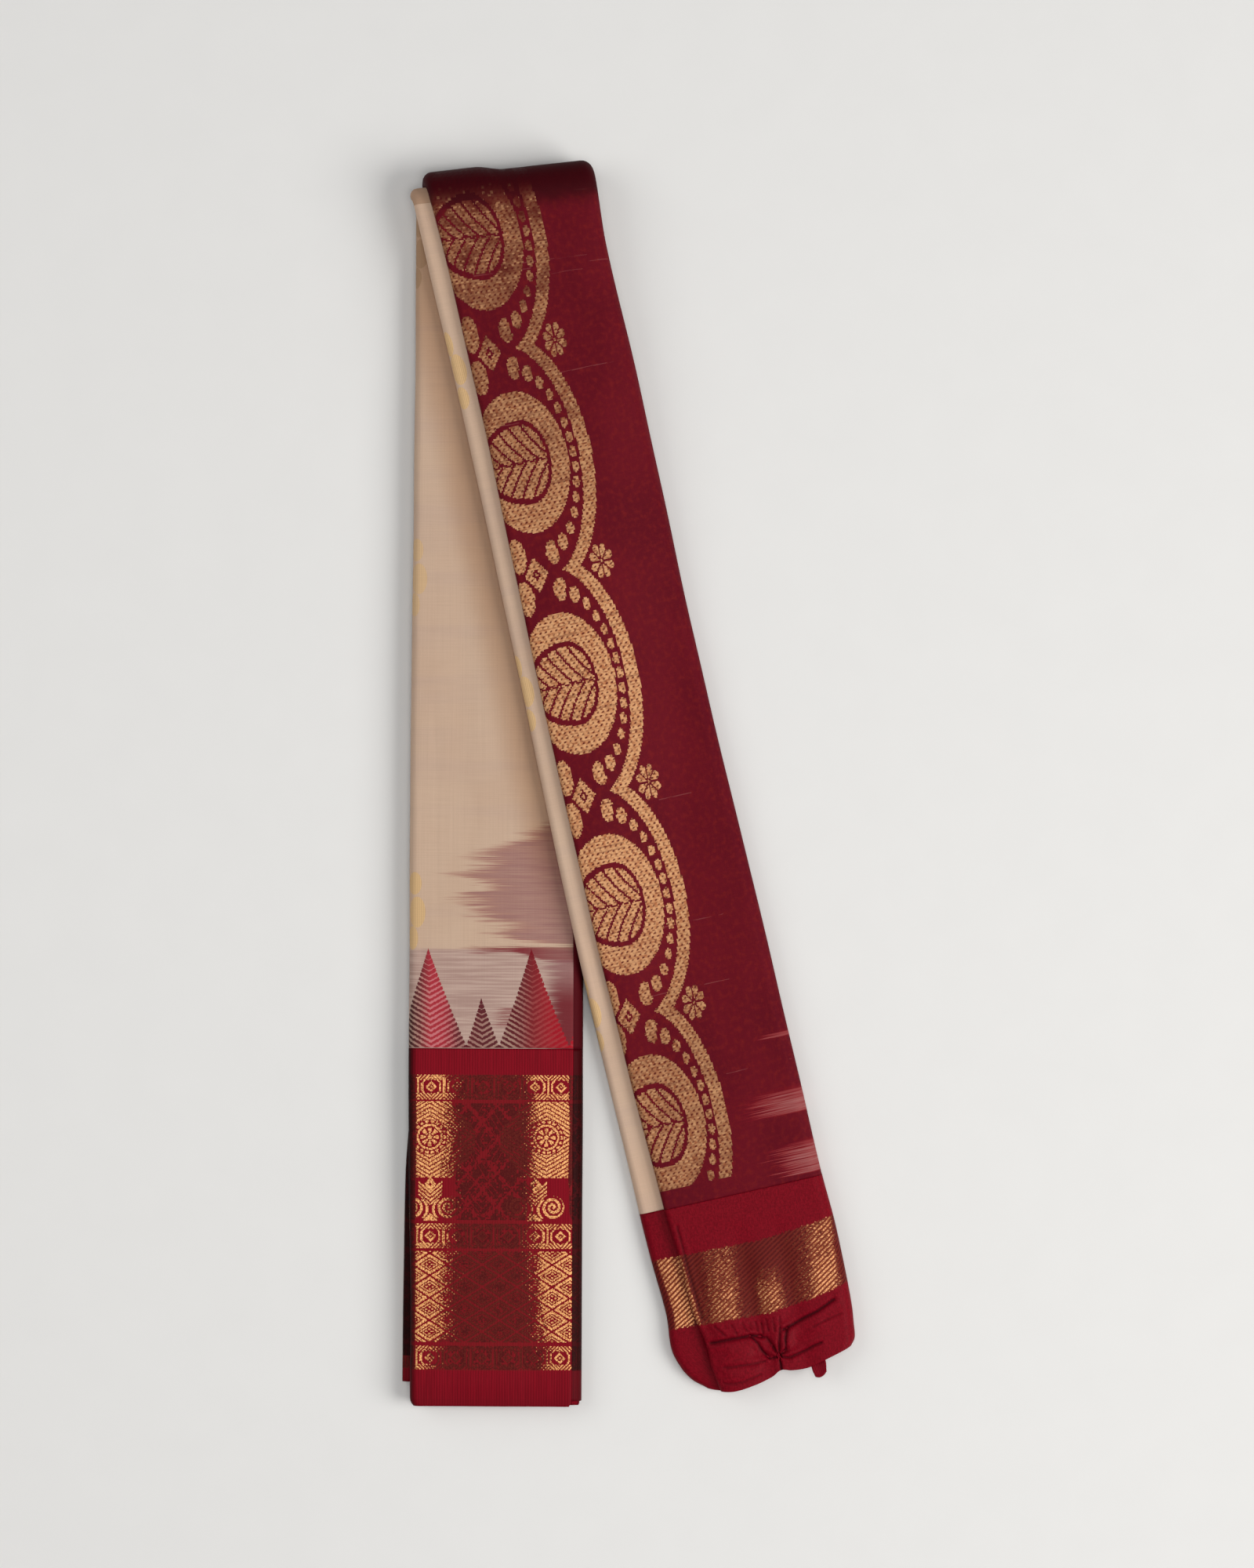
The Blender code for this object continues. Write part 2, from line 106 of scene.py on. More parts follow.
@dataclass(frozen=True)
class Table:
    """Lengths listed against a place, read on a smooth curve through the rows."""

    rows: Rows

    def at(self, places: Grid) -> list[Grid]:
        """Reads the table.

        Args:
            places: Values of the first column.

        Returns:
            One array for each other column.
        """
        table = np.array(self.rows)
        last = len(table) - 1
        number = np.clip(np.searchsorted(table[:, 0], places, side="right") - 1, 0, last - 1)
        start, end = table[number], table[number + 1]
        before, after = table[np.maximum(number - 1, 0)], table[np.minimum(number + 2, last)]
        span = (end - start)[..., :1]
        part = np.clip((np.asarray(places)[..., None] - start[..., :1]) / span, 0, 1)
        slope_in = (end - before) / (end - before)[..., :1]
        slope_out = (after - start) / (after - start)[..., :1]
        part2, part3 = part**2, part**3
        values = (
            (2 * part3 - 3 * part2 + 1) * start
            + (part3 - 2 * part2 + part) * span * slope_in
            + (3 * part2 - 2 * part3) * end
            + (part3 - part2) * span * slope_out
        )
        return [values[..., column] for column in range(1, table.shape[1])]


@dataclass(frozen=True)
class FoldedStrip:
    """The doubled strip: how a place across, along and deep into it becomes a point."""

    thickness: float = 12.0 * MM
    outer_bundle: float = 4.6 * MM
    seam_gap: float = 0.3 * MM
    left_leg: float = 579.0 * MM
    right_leg: float = 578.0 * MM
    left_lean: float = math.radians(0.308)
    crease_tilt: float = math.radians(6.15)
    fold_inner_radius: float = 1.5 * MM
    crease_point: Pair = (-60.00 * MM, 280.82 * MM)
    right_round: float = 5.6 * MM
    roll_round: float = 3.5 * MM
    roll_turn_under: float = 17.0 * MM
    pallu_turn_under: float = 8.0 * MM
    crown: float = 0.8 * MM
    left_crown_grows: float = 12.0 * MM
    left_crown_ends: float = 480.0 * MM
    left_crown_fades: float = 70.0 * MM
    right_crown_grows: float = 60.0 * MM
    turn_before: float = 75.0 * MM
    turn_after: float = 15.0 * MM
    turn_length: float = 60.0 * MM
    rest_gap: float = 0.3 * MM
    fold_settles: float = 60.0 * MM
    drop_width: float = 55.0 * MM
    edge_inset: float = 2.5 * MM
    overlap_tip: float = 227.0 * MM
    end_reach: float = 30.0 * MM
    border_creases_start: float = 498.0 * MM
    border_creases_grow: float = 32.0 * MM
    gather_reach: float = 16.0 * MM
    gather_height: float = 0.6 * MM
    gather_clear: float = 4.0 * MM
    gathers: int = 9
    tie_across: float = 5.7 * MM
    tie_before_end: float = 7.0 * MM
    tie_dip: float = 1.4 * MM
    tie_dip_reach: float = 6.0 * MM
    border: float = 171.5 * MM
    outer_border_start: float = 11.0 * MM
    seam_before_fold: float = 4.0 * MM
    narrow_border_after_fold: float = 490.0 * MM

    @property
    def fold_radius(self) -> float:
        """The bend's radius at the middle of the strip's thickness."""
        return self.fold_inner_radius + self.thickness / 2

    @property
    def fold_length(self) -> float:
        """The length of the half turn at the middle of the thickness."""
        return math.pi * self.fold_radius

    @property
    def right_start(self) -> float:
        """Where the right leg starts, along the strip."""
        return self.left_leg + self.fold_length

    @property
    def end(self) -> float:
        """Where the strip ends."""
        return self.right_start + self.right_leg

    @property
    def seam(self) -> float:
        """Where the left leg's cloths meet those that go over the fold."""
        return self.left_leg - self.seam_before_fold

    @property
    def narrow_border(self) -> float:
        """Where the narrow border starts, on the right leg."""
        return self.right_start + self.narrow_border_after_fold

    @property
    def tie(self) -> Pair:
        """Across and along of the tie that gathers the selvedge."""
        return self.tie_across, self.end - self.tie_before_end

    @property
    def edges(self) -> Table:
        """Edges across the strip by place along it: the roll's, the pallu crease's, the right."""
        left = (
            (0, -39.4, -45, 39.9), (1.6, -40.6, -45, 40.9), (4, -41, -45, 41.2),
            (60, -41.2, -44.6, 41.2), (110, -42.2, -44, 41.2), (140, -42.5, -42.2, 41.2),
            (300, -42.4, -39, 41),
        )
        fold = ((0.0, -41.2, -37.5, 42.0), (0.5, -44.5, -35.8, 43.2))
        right = (
            (0, -44.4, -36, 43), (30, -44.2, -35.2, 41.2), (100, -43.6, -34.7, 42),
            (240, -44.8, -36.3, 41.6), (375, -46, -35.9, 43.9), (490, -44.6, -32.5, 45.2),
            (514, -44, -30.8, 46.2), (540, -42.7, -30.4, 46.1), (557, -43.8, -27.1, 45.4),
            (567, -41, -27, 44.4), (573, -37.4, -26, 43.8), (576, -34.2, -25.4, 42.8),
            (578, -31.2, -25, 40.8),
        )
        rows = [tuple(value * MM for value in row) for row in left]
        for part, *sides in fold:
            rows.append((self.left_leg + part * self.fold_length, *(v * MM for v in sides)))
        rows += [(self.right_start + row[0] * MM, *(v * MM for v in row[1:])) for row in right]
        return Table(tuple(rows))

    @property
    def end_edge(self) -> Table:
        """How far the right leg's lower edge runs past the strip's end, by place across."""
        rows = (
            (-32.7, 0), (-20.7, 4), (-8.7, 3.4), (0.4, 1.4), (5.4, -1), (10.4, 0.2),
            (18.4, 0.8), (26.4, -1), (42.4, -5),
        )
        return Table(tuple((across * MM, past * MM) for across, past in rows))

    def left_crown(self, across: Grid, along: Grid) -> Grid:
        """How much the left leg's upper face is crowned, in metres."""
        held = 1 - rise((along - self.left_crown_ends) / self.left_crown_fades)
        return self.crown * (rise(along / self.left_crown_grows) * held) * self.bell(across, along)

    def right_crown(self, across: Grid, along: Grid) -> Grid:
        """How much the right leg's upper face is crowned, in metres."""
        grown = rise((along - self.right_start) / self.right_crown_grows)
        return self.crown * grown * self.bell(across, along)

    def bell(self, across: Grid, along: Grid) -> Grid:
        """1 along the strip's middle, falling to 0 at its edges."""
        roll, _, right = self.edges.at(along)
        return np.maximum(0.0, 1 - ((across - (roll + right) / 2) / ((right - roll) / 2)) ** 2)

    def border_creases(self, across: Grid, along: Grid) -> Grid:
        """Height of the soft creases in the pallu's border, with its gathers at the tie.

        Args:
            across: Places across the strip.
            along: Places along it.

        Returns:
            Heights in metres.
        """
        creases = (
            (-25.2, -0.9, 3.5), (-14.7, 0.9, 9), (-1.7, -1, 5), (8.8, 0.8, 6),
            (17.8, -0.8, 4.5), (30.3, 0.9, 9),
        )
        across_tie, along_tie = self.tie
        from_tie = np.hypot(across - across_tie, along - along_tie)
        height = -self.tie_dip * np.exp(-((from_tie / self.tie_dip_reach) ** 2))
        for middle, high, half in creases:
            height = height + high * MM * np.exp(-(((across / MM - middle) / half) ** 2))
        start = self.right_start + self.border_creases_start
        height = height * rise((along - start) / self.border_creases_grow)
        turn = np.arctan2(across - across_tie, along_tie - along)
        near = np.exp(-((from_tie / self.gather_reach) ** 2)) * rise(from_tie / self.gather_clear)
        above = rise((np.cos(turn) + 0.3) / 0.9)
        return height + self.gather_height * near * above * np.cos(self.gathers * turn)

    def underside(self, x: Grid, y: Grid, from_fold: Grid) -> Grid:
        """Height of the right leg's underside over the floor.

        Args:
            x: Places on the floor.
            y: Places on the floor.
            from_fold: How far each is from the end of the bend.

        Returns:
            Heights in metres.
        """
        across_x, across_y = self.left_axes[1]
        along_x, along_y = self.left_axes[0]
        x, y = x - self.crease_point[0], y - self.crease_point[1]
        across = x * across_x + y * across_y
        along = self.left_leg + x * along_x + y * along_y
        edge = self.edges.at(np.minimum(along, self.left_leg))[2] - self.edge_inset
        away = np.hypot(np.maximum(across - edge, 0), np.maximum(self.overlap_tip - along, 0))
        held = 1 - rise(away / self.drop_width)
        on_left = self.thickness + self.left_crown(across, along) + self.rest_gap
        loose = 2 * self.fold_inner_radius - self.rest_gap
        return on_left * held + loose * (1 - rise(from_fold / self.fold_settles))

    @property
    def left_axes(self) -> tuple[Pair, Pair]:
        """The left leg's directions along and across, on the floor."""
        angle = math.pi / 2 - self.left_lean
        direction = (math.cos(angle), math.sin(angle))
        return direction, (direction[1], -direction[0])

    def place(self, across: Grid, along: Grid, deep: Grid) -> Grid:
        """Points of the doubled strip.

        Args:
            across: Places across the strip, to the right on its outer face.
            along: Places along it, from the left leg's lower end.
            deep: Depths, from the outer face to the inner one.

        Returns:
            The points, with x, y and z on the last axis.
        """
        across, along, deep = np.broadcast_arrays(across, along, deep)
        near_fold = rise((along - self.left_leg + self.turn_before) / self.turn_length)
        near_fold = near_fold * (
            1 - rise((along - self.right_start - self.turn_after) / self.turn_length)
        )
        inner_part = deep / self.thickness
        lifted = self.right_crown(across, along) * (1 - inner_part)
        lifted += self.border_creases(across, along) * np.maximum(0, 1 - deep / self.outer_bundle)
        deep = deep + self.left_crown(across, along) * inner_part - lifted
        at_end = rise((along - self.end + self.end_reach) / self.end_reach)
        along = along + across * math.tan(self.crease_tilt + self.left_lean) * near_fold
        along = along + self.end_edge.at(across)[0] * at_end
        (along_x, along_y), (across_x, across_y) = self.left_axes
        ahead = along - self.left_leg
        x = ahead * along_x + across * across_x
        y = ahead * along_y + across * across_y
        over_x, over_y = -math.sin(self.crease_tilt), math.cos(self.crease_tilt)
        over = x * over_x + y * over_y
        turn = np.clip(over / self.fold_radius, 0, math.pi)
        radius = self.fold_inner_radius + self.thickness - deep
        back = np.maximum(over - self.fold_length, 0)
        shift = np.where(over > 0, radius * np.sin(turn) - over - back, 0)
        x = x + shift * over_x + self.crease_point[0]
        y = y + shift * over_y + self.crease_point[1]
        bent = self.thickness + self.fold_inner_radius - radius * np.cos(turn)
        laid = self.underside(x, y, back) + self.thickness - deep
        z = np.where(over <= 0, deep, np.where(back > 0, laid, bent))
        return np.stack([x, y, z], axis=-1)


class Face(Enum):
    """Which cloth a cross-section follows."""

    PALLU = "the outer cloth, from its turned-under edge round the crease to the right edge"
    COTTON = "the inner cloth, from beside the right edge round the roll and under it"


@dataclass(frozen=True)
class Section:
    """A cross-section line of the strip, with its length measured along the cloth."""

    strip: FoldedStrip
    face: Face
    columns: int
    overlap: float = 0.5 * MM
    proud: float = 0.2 * MM
    under_steps: int = 4
    crease_steps: int = 9
    edge_steps: int = 14

    def points(self, along: Grid, inset: float) -> tuple[Grid, Grid, Grid]:
        """The line at each place along the strip.

        Args:
            along: Places along the strip.
            inset: How far inside the cloth's outer face the line runs.

        Returns:
            Across, deep and the cloth's own length across, a row for each place.
        """
        roll, crease, right = (edge[:, None] for edge in self.strip.edges.at(along))
        if self.face is Face.PALLU:
            return self.pallu_line(crease, right, inset)
        return self.cotton_line(roll, right, inset)

    def pallu_line(self, crease: Grid, right: Grid, inset: float) -> tuple[Grid, Grid, Grid]:
        """The outer cloth's line: turned under, round the crease, across and round the edge.

        Args:
            crease: The crease's place across, for each place along.
            right: The right edge's.
            inset: How far inside the cloth's outer face the line runs.

        Returns:
            Across, deep and the cloth's own length across, a row for each place.
        """
        strip = self.strip
        rounding = strip.outer_bundle / 2
        half = strip.thickness / 2
        start, end = crease + rounding, right - strip.right_round
        under = np.linspace(1, 0, self.under_steps)[None, :-1]
        turned = under * (strip.pallu_turn_under - rounding)
        bend = np.linspace(90, 270, self.crease_steps)[None, :]
        flat = np.linspace(0, 1, self.columns)[None, 1:-1]
        wrap = np.linspace(-90, 90, self.edge_steps)[None, :]
        bend_turn, wrap_turn = np.radians(bend), np.radians(wrap)
        wrap_length = math.pi * math.hypot(strip.right_round, half) / math.sqrt(2)
        level = np.zeros_like(start)
        across = [
            start + turned,
            start + (rounding - inset) * np.cos(bend_turn),
            start + (end - start) * flat,
            end + (strip.right_round - inset) * np.cos(wrap_turn),
        ]
        deep = [
            level + strip.outer_bundle - inset + 0 * turned,
            level + rounding + (rounding - inset) * np.sin(bend_turn),
            level + inset + 0 * flat,
            level + half + (half - inset) * np.sin(wrap_turn),
        ]
        length = [
            start - math.pi * rounding - turned,
            start - math.pi * rounding * (270 - bend) / 180,
            start + (end - start) * flat,
            end + wrap_length * (wrap + 90) / 180,
        ]
        return np.hstack(across), np.hstack(deep), np.hstack(length)

    def cotton_line(self, roll: Grid, right: Grid, inset: float) -> tuple[Grid, Grid, Grid]:
        """The inner cloth's line: from its folded edge across, round the roll and under it.

        Args:
            roll: The roll's place across, for each place along.
            right: The right edge's.
            inset: How far inside the cloth's outer face the line runs.

        Returns:
            Across, deep and the cloth's own length across, a row for each place.
        """
        strip = self.strip
        low = strip.outer_bundle + strip.seam_gap
        half = (strip.thickness - low) / 2
        start = right - strip.right_round + self.overlap
        end = roll + strip.roll_round
        flat = np.linspace(0, 1, self.columns)[None, :-1]
        bend = np.linspace(90, 270, self.crease_steps)[None, :]
        under = np.linspace(0, 1, self.under_steps)[None, 1:]
        bend_turn = np.radians(bend)
        bend_length = math.pi * math.hypot(strip.roll_round, half) / math.sqrt(2)
        reach = strip.roll_turn_under - strip.roll_round
        level = np.zeros_like(start)
        near_edge = np.exp(-(((end - start) * flat) / (4 * MM)) ** 2)
        across = [
            start + (end - start) * flat,
            end + (strip.roll_round - inset) * np.cos(bend_turn),
            end + reach * under,
        ]
        deep = [
            level + strip.thickness - inset + self.proud * near_edge,
            level + low + half + (half - inset) * np.sin(bend_turn),
            level + low + inset + 0 * under,
        ]
        length = [
            start + (end - start) * flat,
            end - bend_length * (bend - 90) / 180,
            end - bend_length - reach * under,
        ]
        return np.hstack(across), np.hstack(deep), np.hstack(length)


@dataclass(frozen=True)
class Crease:
    """A soft ridge or trough, by its two ends in millimetres across and along the cloth."""

    start: Pair
    end: Pair
    height: float
    half_width: float

    def lift(self, across: Grid, along: Grid) -> Grid:
        """How far the crease lifts the cloth.

        Args:
            across: Places across the cloth, in millimetres.
            along: Places along it.

        Returns:
            Heights in millimetres.
        """
        run = (self.end[0] - self.start[0], self.end[1] - self.start[1])
        length = math.hypot(*run)
        direction = (run[0] / length, run[1] / length)
        x, y = across - self.start[0], along - self.start[1]
        part = (x * direction[0] + y * direction[1]) / length
        beside = x * direction[1] - y * direction[0]
        taper = rise(part / 0.3 + 0.5) * (1 - rise((part - 0.85) / 0.3))
        return self.height * taper * np.exp(-((beside / self.half_width) ** 2))


@dataclass(frozen=True)
class Fold:
    """A pinched fold: a groove along a line, between low swells, with painted shade at its bottom."""

    points: Points
    depth: float
    half_width: float
    swell: float = 0.25
    darkness: float = 0.6

    def distance(self, across: Grid, along: Grid) -> Grid:
        """The distance from the line, stretched at its two ends.

        Args:
            across: Places across the cloth, in millimetres.
            along: Places along it.

        Returns:
            Distances in millimetres.
        """
        nearest = np.full(np.shape(across + along), 1e6)
        last = len(self.points) - 2
        for number, (start, end) in enumerate(zip(self.points, self.points[1:])):
            run = (end[0] - start[0], end[1] - start[1])
            length = max(math.hypot(*run), 1e-6)
            part = ((across - start[0]) * run[0] + (along - start[1]) * run[1]) / length**2
            low = 0.12 if number == 0 else 0.0
            held = np.clip(part, low, 0.88 if number == last else 1.0)
            x, y = across - start[0] - held * run[0], along - start[1] - held * run[1]
            nearest = np.minimum(nearest, np.hypot(x, y))
        return nearest

    def lift(self, across: Grid, along: Grid) -> Grid:
        """How far the fold lowers and lifts the cloth, in millimetres."""
        far = self.distance(across, along) / self.half_width
        return self.swell * np.exp(-(((far - 3.0) / 1.8) ** 2)) - self.depth * np.exp(-(far**2))

    def shadow(self, across: Grid, along: Grid) -> Grid:
        """How deep the painted shade in the fold is, 0 to 1."""
        far = self.distance(across, along) / self.half_width
        return self.darkness * np.exp(-((far / 0.95) ** 2))


@dataclass(frozen=True)
class Relief:
    """The unevenness of a stretch of cloth: creases, given one by one, over slow waves."""

    creases: tuple[Union[Crease, Fold], ...] = ()
    wave: float = 0.10
    phase: float = 0.0

    def height(self, across: Grid, along: Grid) -> Grid:
        """The relief at places of the cloth, in metres.

        Args:
            across: The cloth's own length across, in millimetres.
            along: Its length along, in millimetres.

        Returns:
            Heights in metres, outwards.
        """
        turn = self.phase
        waves = np.sin(across / 9.1 + along / 41 + turn) * np.sin(along / 23 - across / 31 + turn)
        waves += 0.7 * np.sin(across / 5.3 - along / 67 + 2 * turn) * np.sin(along / 57 + 1.7)
        waves += 0.5 * np.sin(along / 11.3 + across / 17 + 3 * turn)
        total = self.wave * waves
        for crease in self.creases:
            total = total + crease.lift(across, along)
        return total * MM

    def shadow(self, across: Grid, along: Grid) -> Grid:
        """How deep the painted shade in its folds is, 0 to 1."""
        folds = [crease.shadow(across, along) for crease in self.creases if isinstance(crease, Fold)]
        return reduce(np.maximum, folds, np.zeros(np.shape(across)))


def grid_normals(points: Grid) -> Grid:
    """Unit normals of a grid of points, one for each point."""
    return unit(np.cross(np.gradient(points, axis=1), np.gradient(points, axis=0)))


def mesh_object(
    name: str, points: Grid, faces: Grid, across: Grid, along: Grid, shadow: Optional[Grid] = None
) -> Object:
    """A smooth mesh with a map of the cloth's own lengths.

    Args:
        name: The object's name.
        points: Its points, a row each.
        faces: Its four-sided faces, a row of point numbers each.
        across: The cloth's length across at each point, in millimetres.
        along: The cloth's length along at each point, in millimetres.
        shadow: How deep the painted shade is at each point, in a fold, 0 to 1.

    Returns:
        The object, linked to the scene.
    """
    mesh = bpy.data.meshes.new(name)
    mesh.vertices.add(len(points))
    mesh.vertices.foreach_set("co", points.astype(np.float32).ravel())
    mesh.loops.add(faces.size)
    mesh.loops.foreach_set("vertex_index", faces.astype(np.int32).ravel())
    mesh.polygons.add(len(faces))
    mesh.polygons.foreach_set("loop_start", np.arange(0, faces.size, 4, dtype=np.int32))
    mesh.update(calc_edges=True)
    cloth_map = mesh.uv_layers.new(name=CLOTH_MAP)
    lengths = np.stack([across, along], axis=-1)[faces.ravel()]
    cloth_map.data.foreach_set("uv", lengths.astype(np.float32).ravel())
    dark = mesh.attributes.new(SHADOW, "FLOAT", "POINT")
    if shadow is not None:
        dark.data.foreach_set("value", shadow.astype(np.float32).ravel())
    mesh.validate()
    mesh.shade_smooth()
    thing = bpy.data.objects.new(name, mesh)
    bpy.context.scene.collection.objects.link(thing)
    return thing


def shell(
    name: str, outer: Grid, inner: Grid, across: Grid, along: Grid, shadow: Optional[Grid] = None
) -> Object:
    """A closed thin shell of cloth with rounded rims.

    Args:
        name: The object's name.
        outer: The grid of points of its outer face.
        inner: The grid of its inner face.
        across: The cloth's length across at each point of the grid, in millimetres.
        along: The cloth's length along at each point of the grid, in millimetres.
        shadow: How deep the painted shade is at each point of the grid, in a fold, 0 to 1.

    Returns:
        The shell.
    """
    rows, columns = outer.shape[:2]
    middle = (outer + inner) / 2
    half = np.linalg.norm(outer - inner, axis=-1, keepdims=True) / 2

    def rim(last: int, before: int) -> Grid:
        """The rim's points, half a thickness past the last column."""
        out = unit(middle[:, last] - middle[:, before])
        return (middle[:, last] + out * half[:, last])[:, None]

    ring = np.concatenate([outer, rim(-1, -2), inner[:, ::-1], rim(0, 1)], axis=1)
    ring_across = np.hstack([across, across[:, -1:], across[:, ::-1], across[:, :1]])
    ring_along = np.hstack([along, along[:, -1:], along[:, ::-1], along[:, :1]])
    ring_dark = np.zeros(ring_across.shape)
    if shadow is not None:
        ring_dark[:, :columns] = shadow
    size = ring.shape[1]
    number = np.arange(rows * size).reshape(rows, size)
    beside = np.roll(number, -1, axis=1)
    faces = [np.stack([number[:-1], beside[:-1], beside[1:], number[1:]], axis=-1).reshape(-1, 4)]
    spots = np.arange(columns - 1)
    for row, flip in ((0, False), (rows - 1, True)):
        end, far = number[row], size - 2 - spots
        cap = np.stack([end[spots + 1], end[spots], end[far], end[far - 1]], axis=-1)
        faces.append(cap[:, ::-1] if flip else cap)
    lengths = (ring_across.ravel(), ring_along.ravel())
    thing = mesh_object(name, ring.reshape(-1, 3), np.vstack(faces), *lengths, ring_dark)
    close_corners(thing.data, number, columns)
    return thing


def close_corners(mesh: bpy.types.Mesh, number: Grid, columns: int) -> None:
    """Closes the small triangles between a shell's rims and its two ends.

    Args:
        mesh: The shell's mesh.
        number: Its point numbers, a row for each section.
        columns: Points across one face of the shell.
    """
    shape = bmesh.new()
    shape.from_mesh(mesh)
    shape.verts.ensure_lookup_table()
    cloth_map = shape.loops.layers.uv[CLOTH_MAP]
    size = number.shape[1]
    for row, flip in ((0, False), (-1, True)):
        corners = (
            (number[row, size - 1], number[row, size - 2], number[row, 0]),
            (number[row, columns], number[row, columns - 1], number[row, columns + 1]),
        )
        for corner in corners:
            verts = [shape.verts[index] for index in (corner[::-1] if flip else corner)]
            face = shape.faces.new(verts)
            face.smooth = True
            for loop in face.loops:
                loop[cloth_map].uv = next(
                    other[cloth_map].uv for other in loop.vert.link_loops if other.face != face
                ).copy()
    bmesh.ops.recalc_face_normals(shape, faces=shape.faces[:])
    shape.to_mesh(mesh)
    shape.free()


@dataclass(frozen=True)
class Stretch:
    """One stretch of cloth that shows: a shell swept along part of the strip.

    The gap is what the shell stays short of the stretch's start and of its end.
    """

    name: str
    slot: str
    section: Section
    start: float
    end: float
    spacing: float
    relief: Relief
    gap: Pair = (0.0, 0.0)
    rests_on: tuple[str, ...] = ("hidden_layers_cloth",)
    with_pieces: tuple[str, ...] = ()
    flat_width: float = 0.112
    thickness: float = 0.8 * MM
    skew: float = 0.0
    skew_width: float = 40.0 * MM
    skew_length: float = 40.0 * MM
    fold_spacing: float = 0.9 * MM
    fold_margin: float = 12.0 * MM

    def stations(self) -> Grid:
        """Places along the strip, closer together in the bend."""
        strip = self.section.strip
        marks, end = [self.start + self.gap[0]], self.end - self.gap[1]
        low, high = strip.left_leg - self.fold_margin, strip.right_start + self.fold_margin
        while marks[-1] < end - 1e-9:
            here = marks[-1]
            in_fold = low <= here < high
            marks.append(min(here + (self.fold_spacing if in_fold else self.spacing), end))
        return np.array(marks)

    def build(self, material: Material) -> Object:
        """Args:
            material: Its finish.

        Returns:
            The shell.
        """
        along = self.stations()
        strip = self.section.strip
        faces, length = [], None
        for inset in (0.0, self.thickness):
            across, deep, length = self.section.points(along, inset)
            run = along[:, None] - self.skew * rise(length / self.skew_width) * (
                1 - rise((along[:, None] - self.start) / self.skew_length)
            )
            faces.append(strip.place(across, run, deep))
        outer, inner = faces
        lengths, run = length / MM, run / MM
        out = grid_normals(outer)
        facing = np.sign(np.sum(out * (outer - inner), axis=-1, keepdims=True))
        lift = self.relief.height(lengths, run)[..., None] * out * facing
        outer, inner = outer + lift, inner + lift
        for points in (outer, inner):
            points[..., 2] = np.maximum(points[..., 2], 0.0)
        thing = shell(self.name, outer, inner, lengths, run, self.relief.shadow(lengths, run))
        dress(thing, material)
        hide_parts(self.name.removesuffix("_cloth"))
        return thing


def dress(thing: Object, material: Material) -> None:
    """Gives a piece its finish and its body.

    Args:
        thing: The piece.
        material: Its finish.
    """
    thing.data.materials.append(material)
    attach(thing, BODY)


def operator(operation: str, swapped: bool = False) -> Callable[..., "Number"]:
    """A Python operator that adds a Math node.

    Args:
        operation: The node's operation.
        swapped: Whether the number itself comes last.

    Returns:
        The operator, as a method of a number.
    """

    def method(self: "Number", *others: Value) -> "Number":
        """The Math node of this number and others."""
        return self.nodes.math(operation, *((*others, self) if swapped else (self, *others)))

    return method


class Number:
    """A number that varies over a surface: a socket with Python's operators, which add nodes.

    A mask is a number from 0 to 1. Where two masks hold is the lesser of them, written &, and
    where either holds is the greater, written |.
    """

    __add__ = __radd__ = operator("ADD")
    __sub__, __rsub__ = operator("SUBTRACT"), operator("SUBTRACT", swapped=True)
    __mul__ = __rmul__ = operator("MULTIPLY")
    __truediv__, __rtruediv__ = operator("DIVIDE"), operator("DIVIDE", swapped=True)
    __lt__, __gt__ = operator("LESS_THAN"), operator("GREATER_THAN")
    __and__ = at_most = operator("MINIMUM")
    __or__ = at_least = operator("MAXIMUM")
    __abs__, floor, fraction = operator("ABSOLUTE"), operator("FLOOR"), operator("FRACT")
    sine, cosine, angle = operator("SINE"), operator("COSINE"), operator("ARCTAN2")
    root, nearest = operator("SQRT"), operator("ROUND")

    def __init__(self, nodes: "Nodes", socket: Socket) -> None:
        """Wraps a socket of a material's nodes."""
        self.nodes = nodes
        self.socket = socket

    def __neg__(self) -> "Number":
        """The negative."""
        return self * -1.0

    def cell(self, period: float) -> "Number":
        """The distance from the nearest whole number of periods."""
        return self - (self / period).nearest() * period

    def snap(self, step: float) -> "Number":
        """The middle of the step that this falls in."""
        return ((self / step).floor() + 0.5) * step

    def between(self, low: Value, high: Value) -> "Number":
        """1 between two values, otherwise 0."""
        return (self > low) & (self < high)

    def rise(self, low: float, high: float) -> "Number":
        """A smooth rise from 0 at low to 1 at high."""
        sockets = {"Value": self, "From Min": low, "From Max": high}
        return self.nodes.number("ShaderNodeMapRange", {"interpolation_type": "SMOOTHSTEP"}, sockets)


def either(*masks: Number) -> Number:
    """Where any of several masks holds."""
    return reduce(lambda first, second: first | second, masks)


def oval(x: Number, y: Number, half_x: Value, half_y: Value) -> Number:
    """Less than 1 inside an oval round the middle, 1 on its edge."""
    x, y = x / half_x, y / half_y
    return x * x + y * y


def distance(x: Number, y: Number) -> Number:
    """How far a place is from the middle."""
    return (x * x + y * y).root()


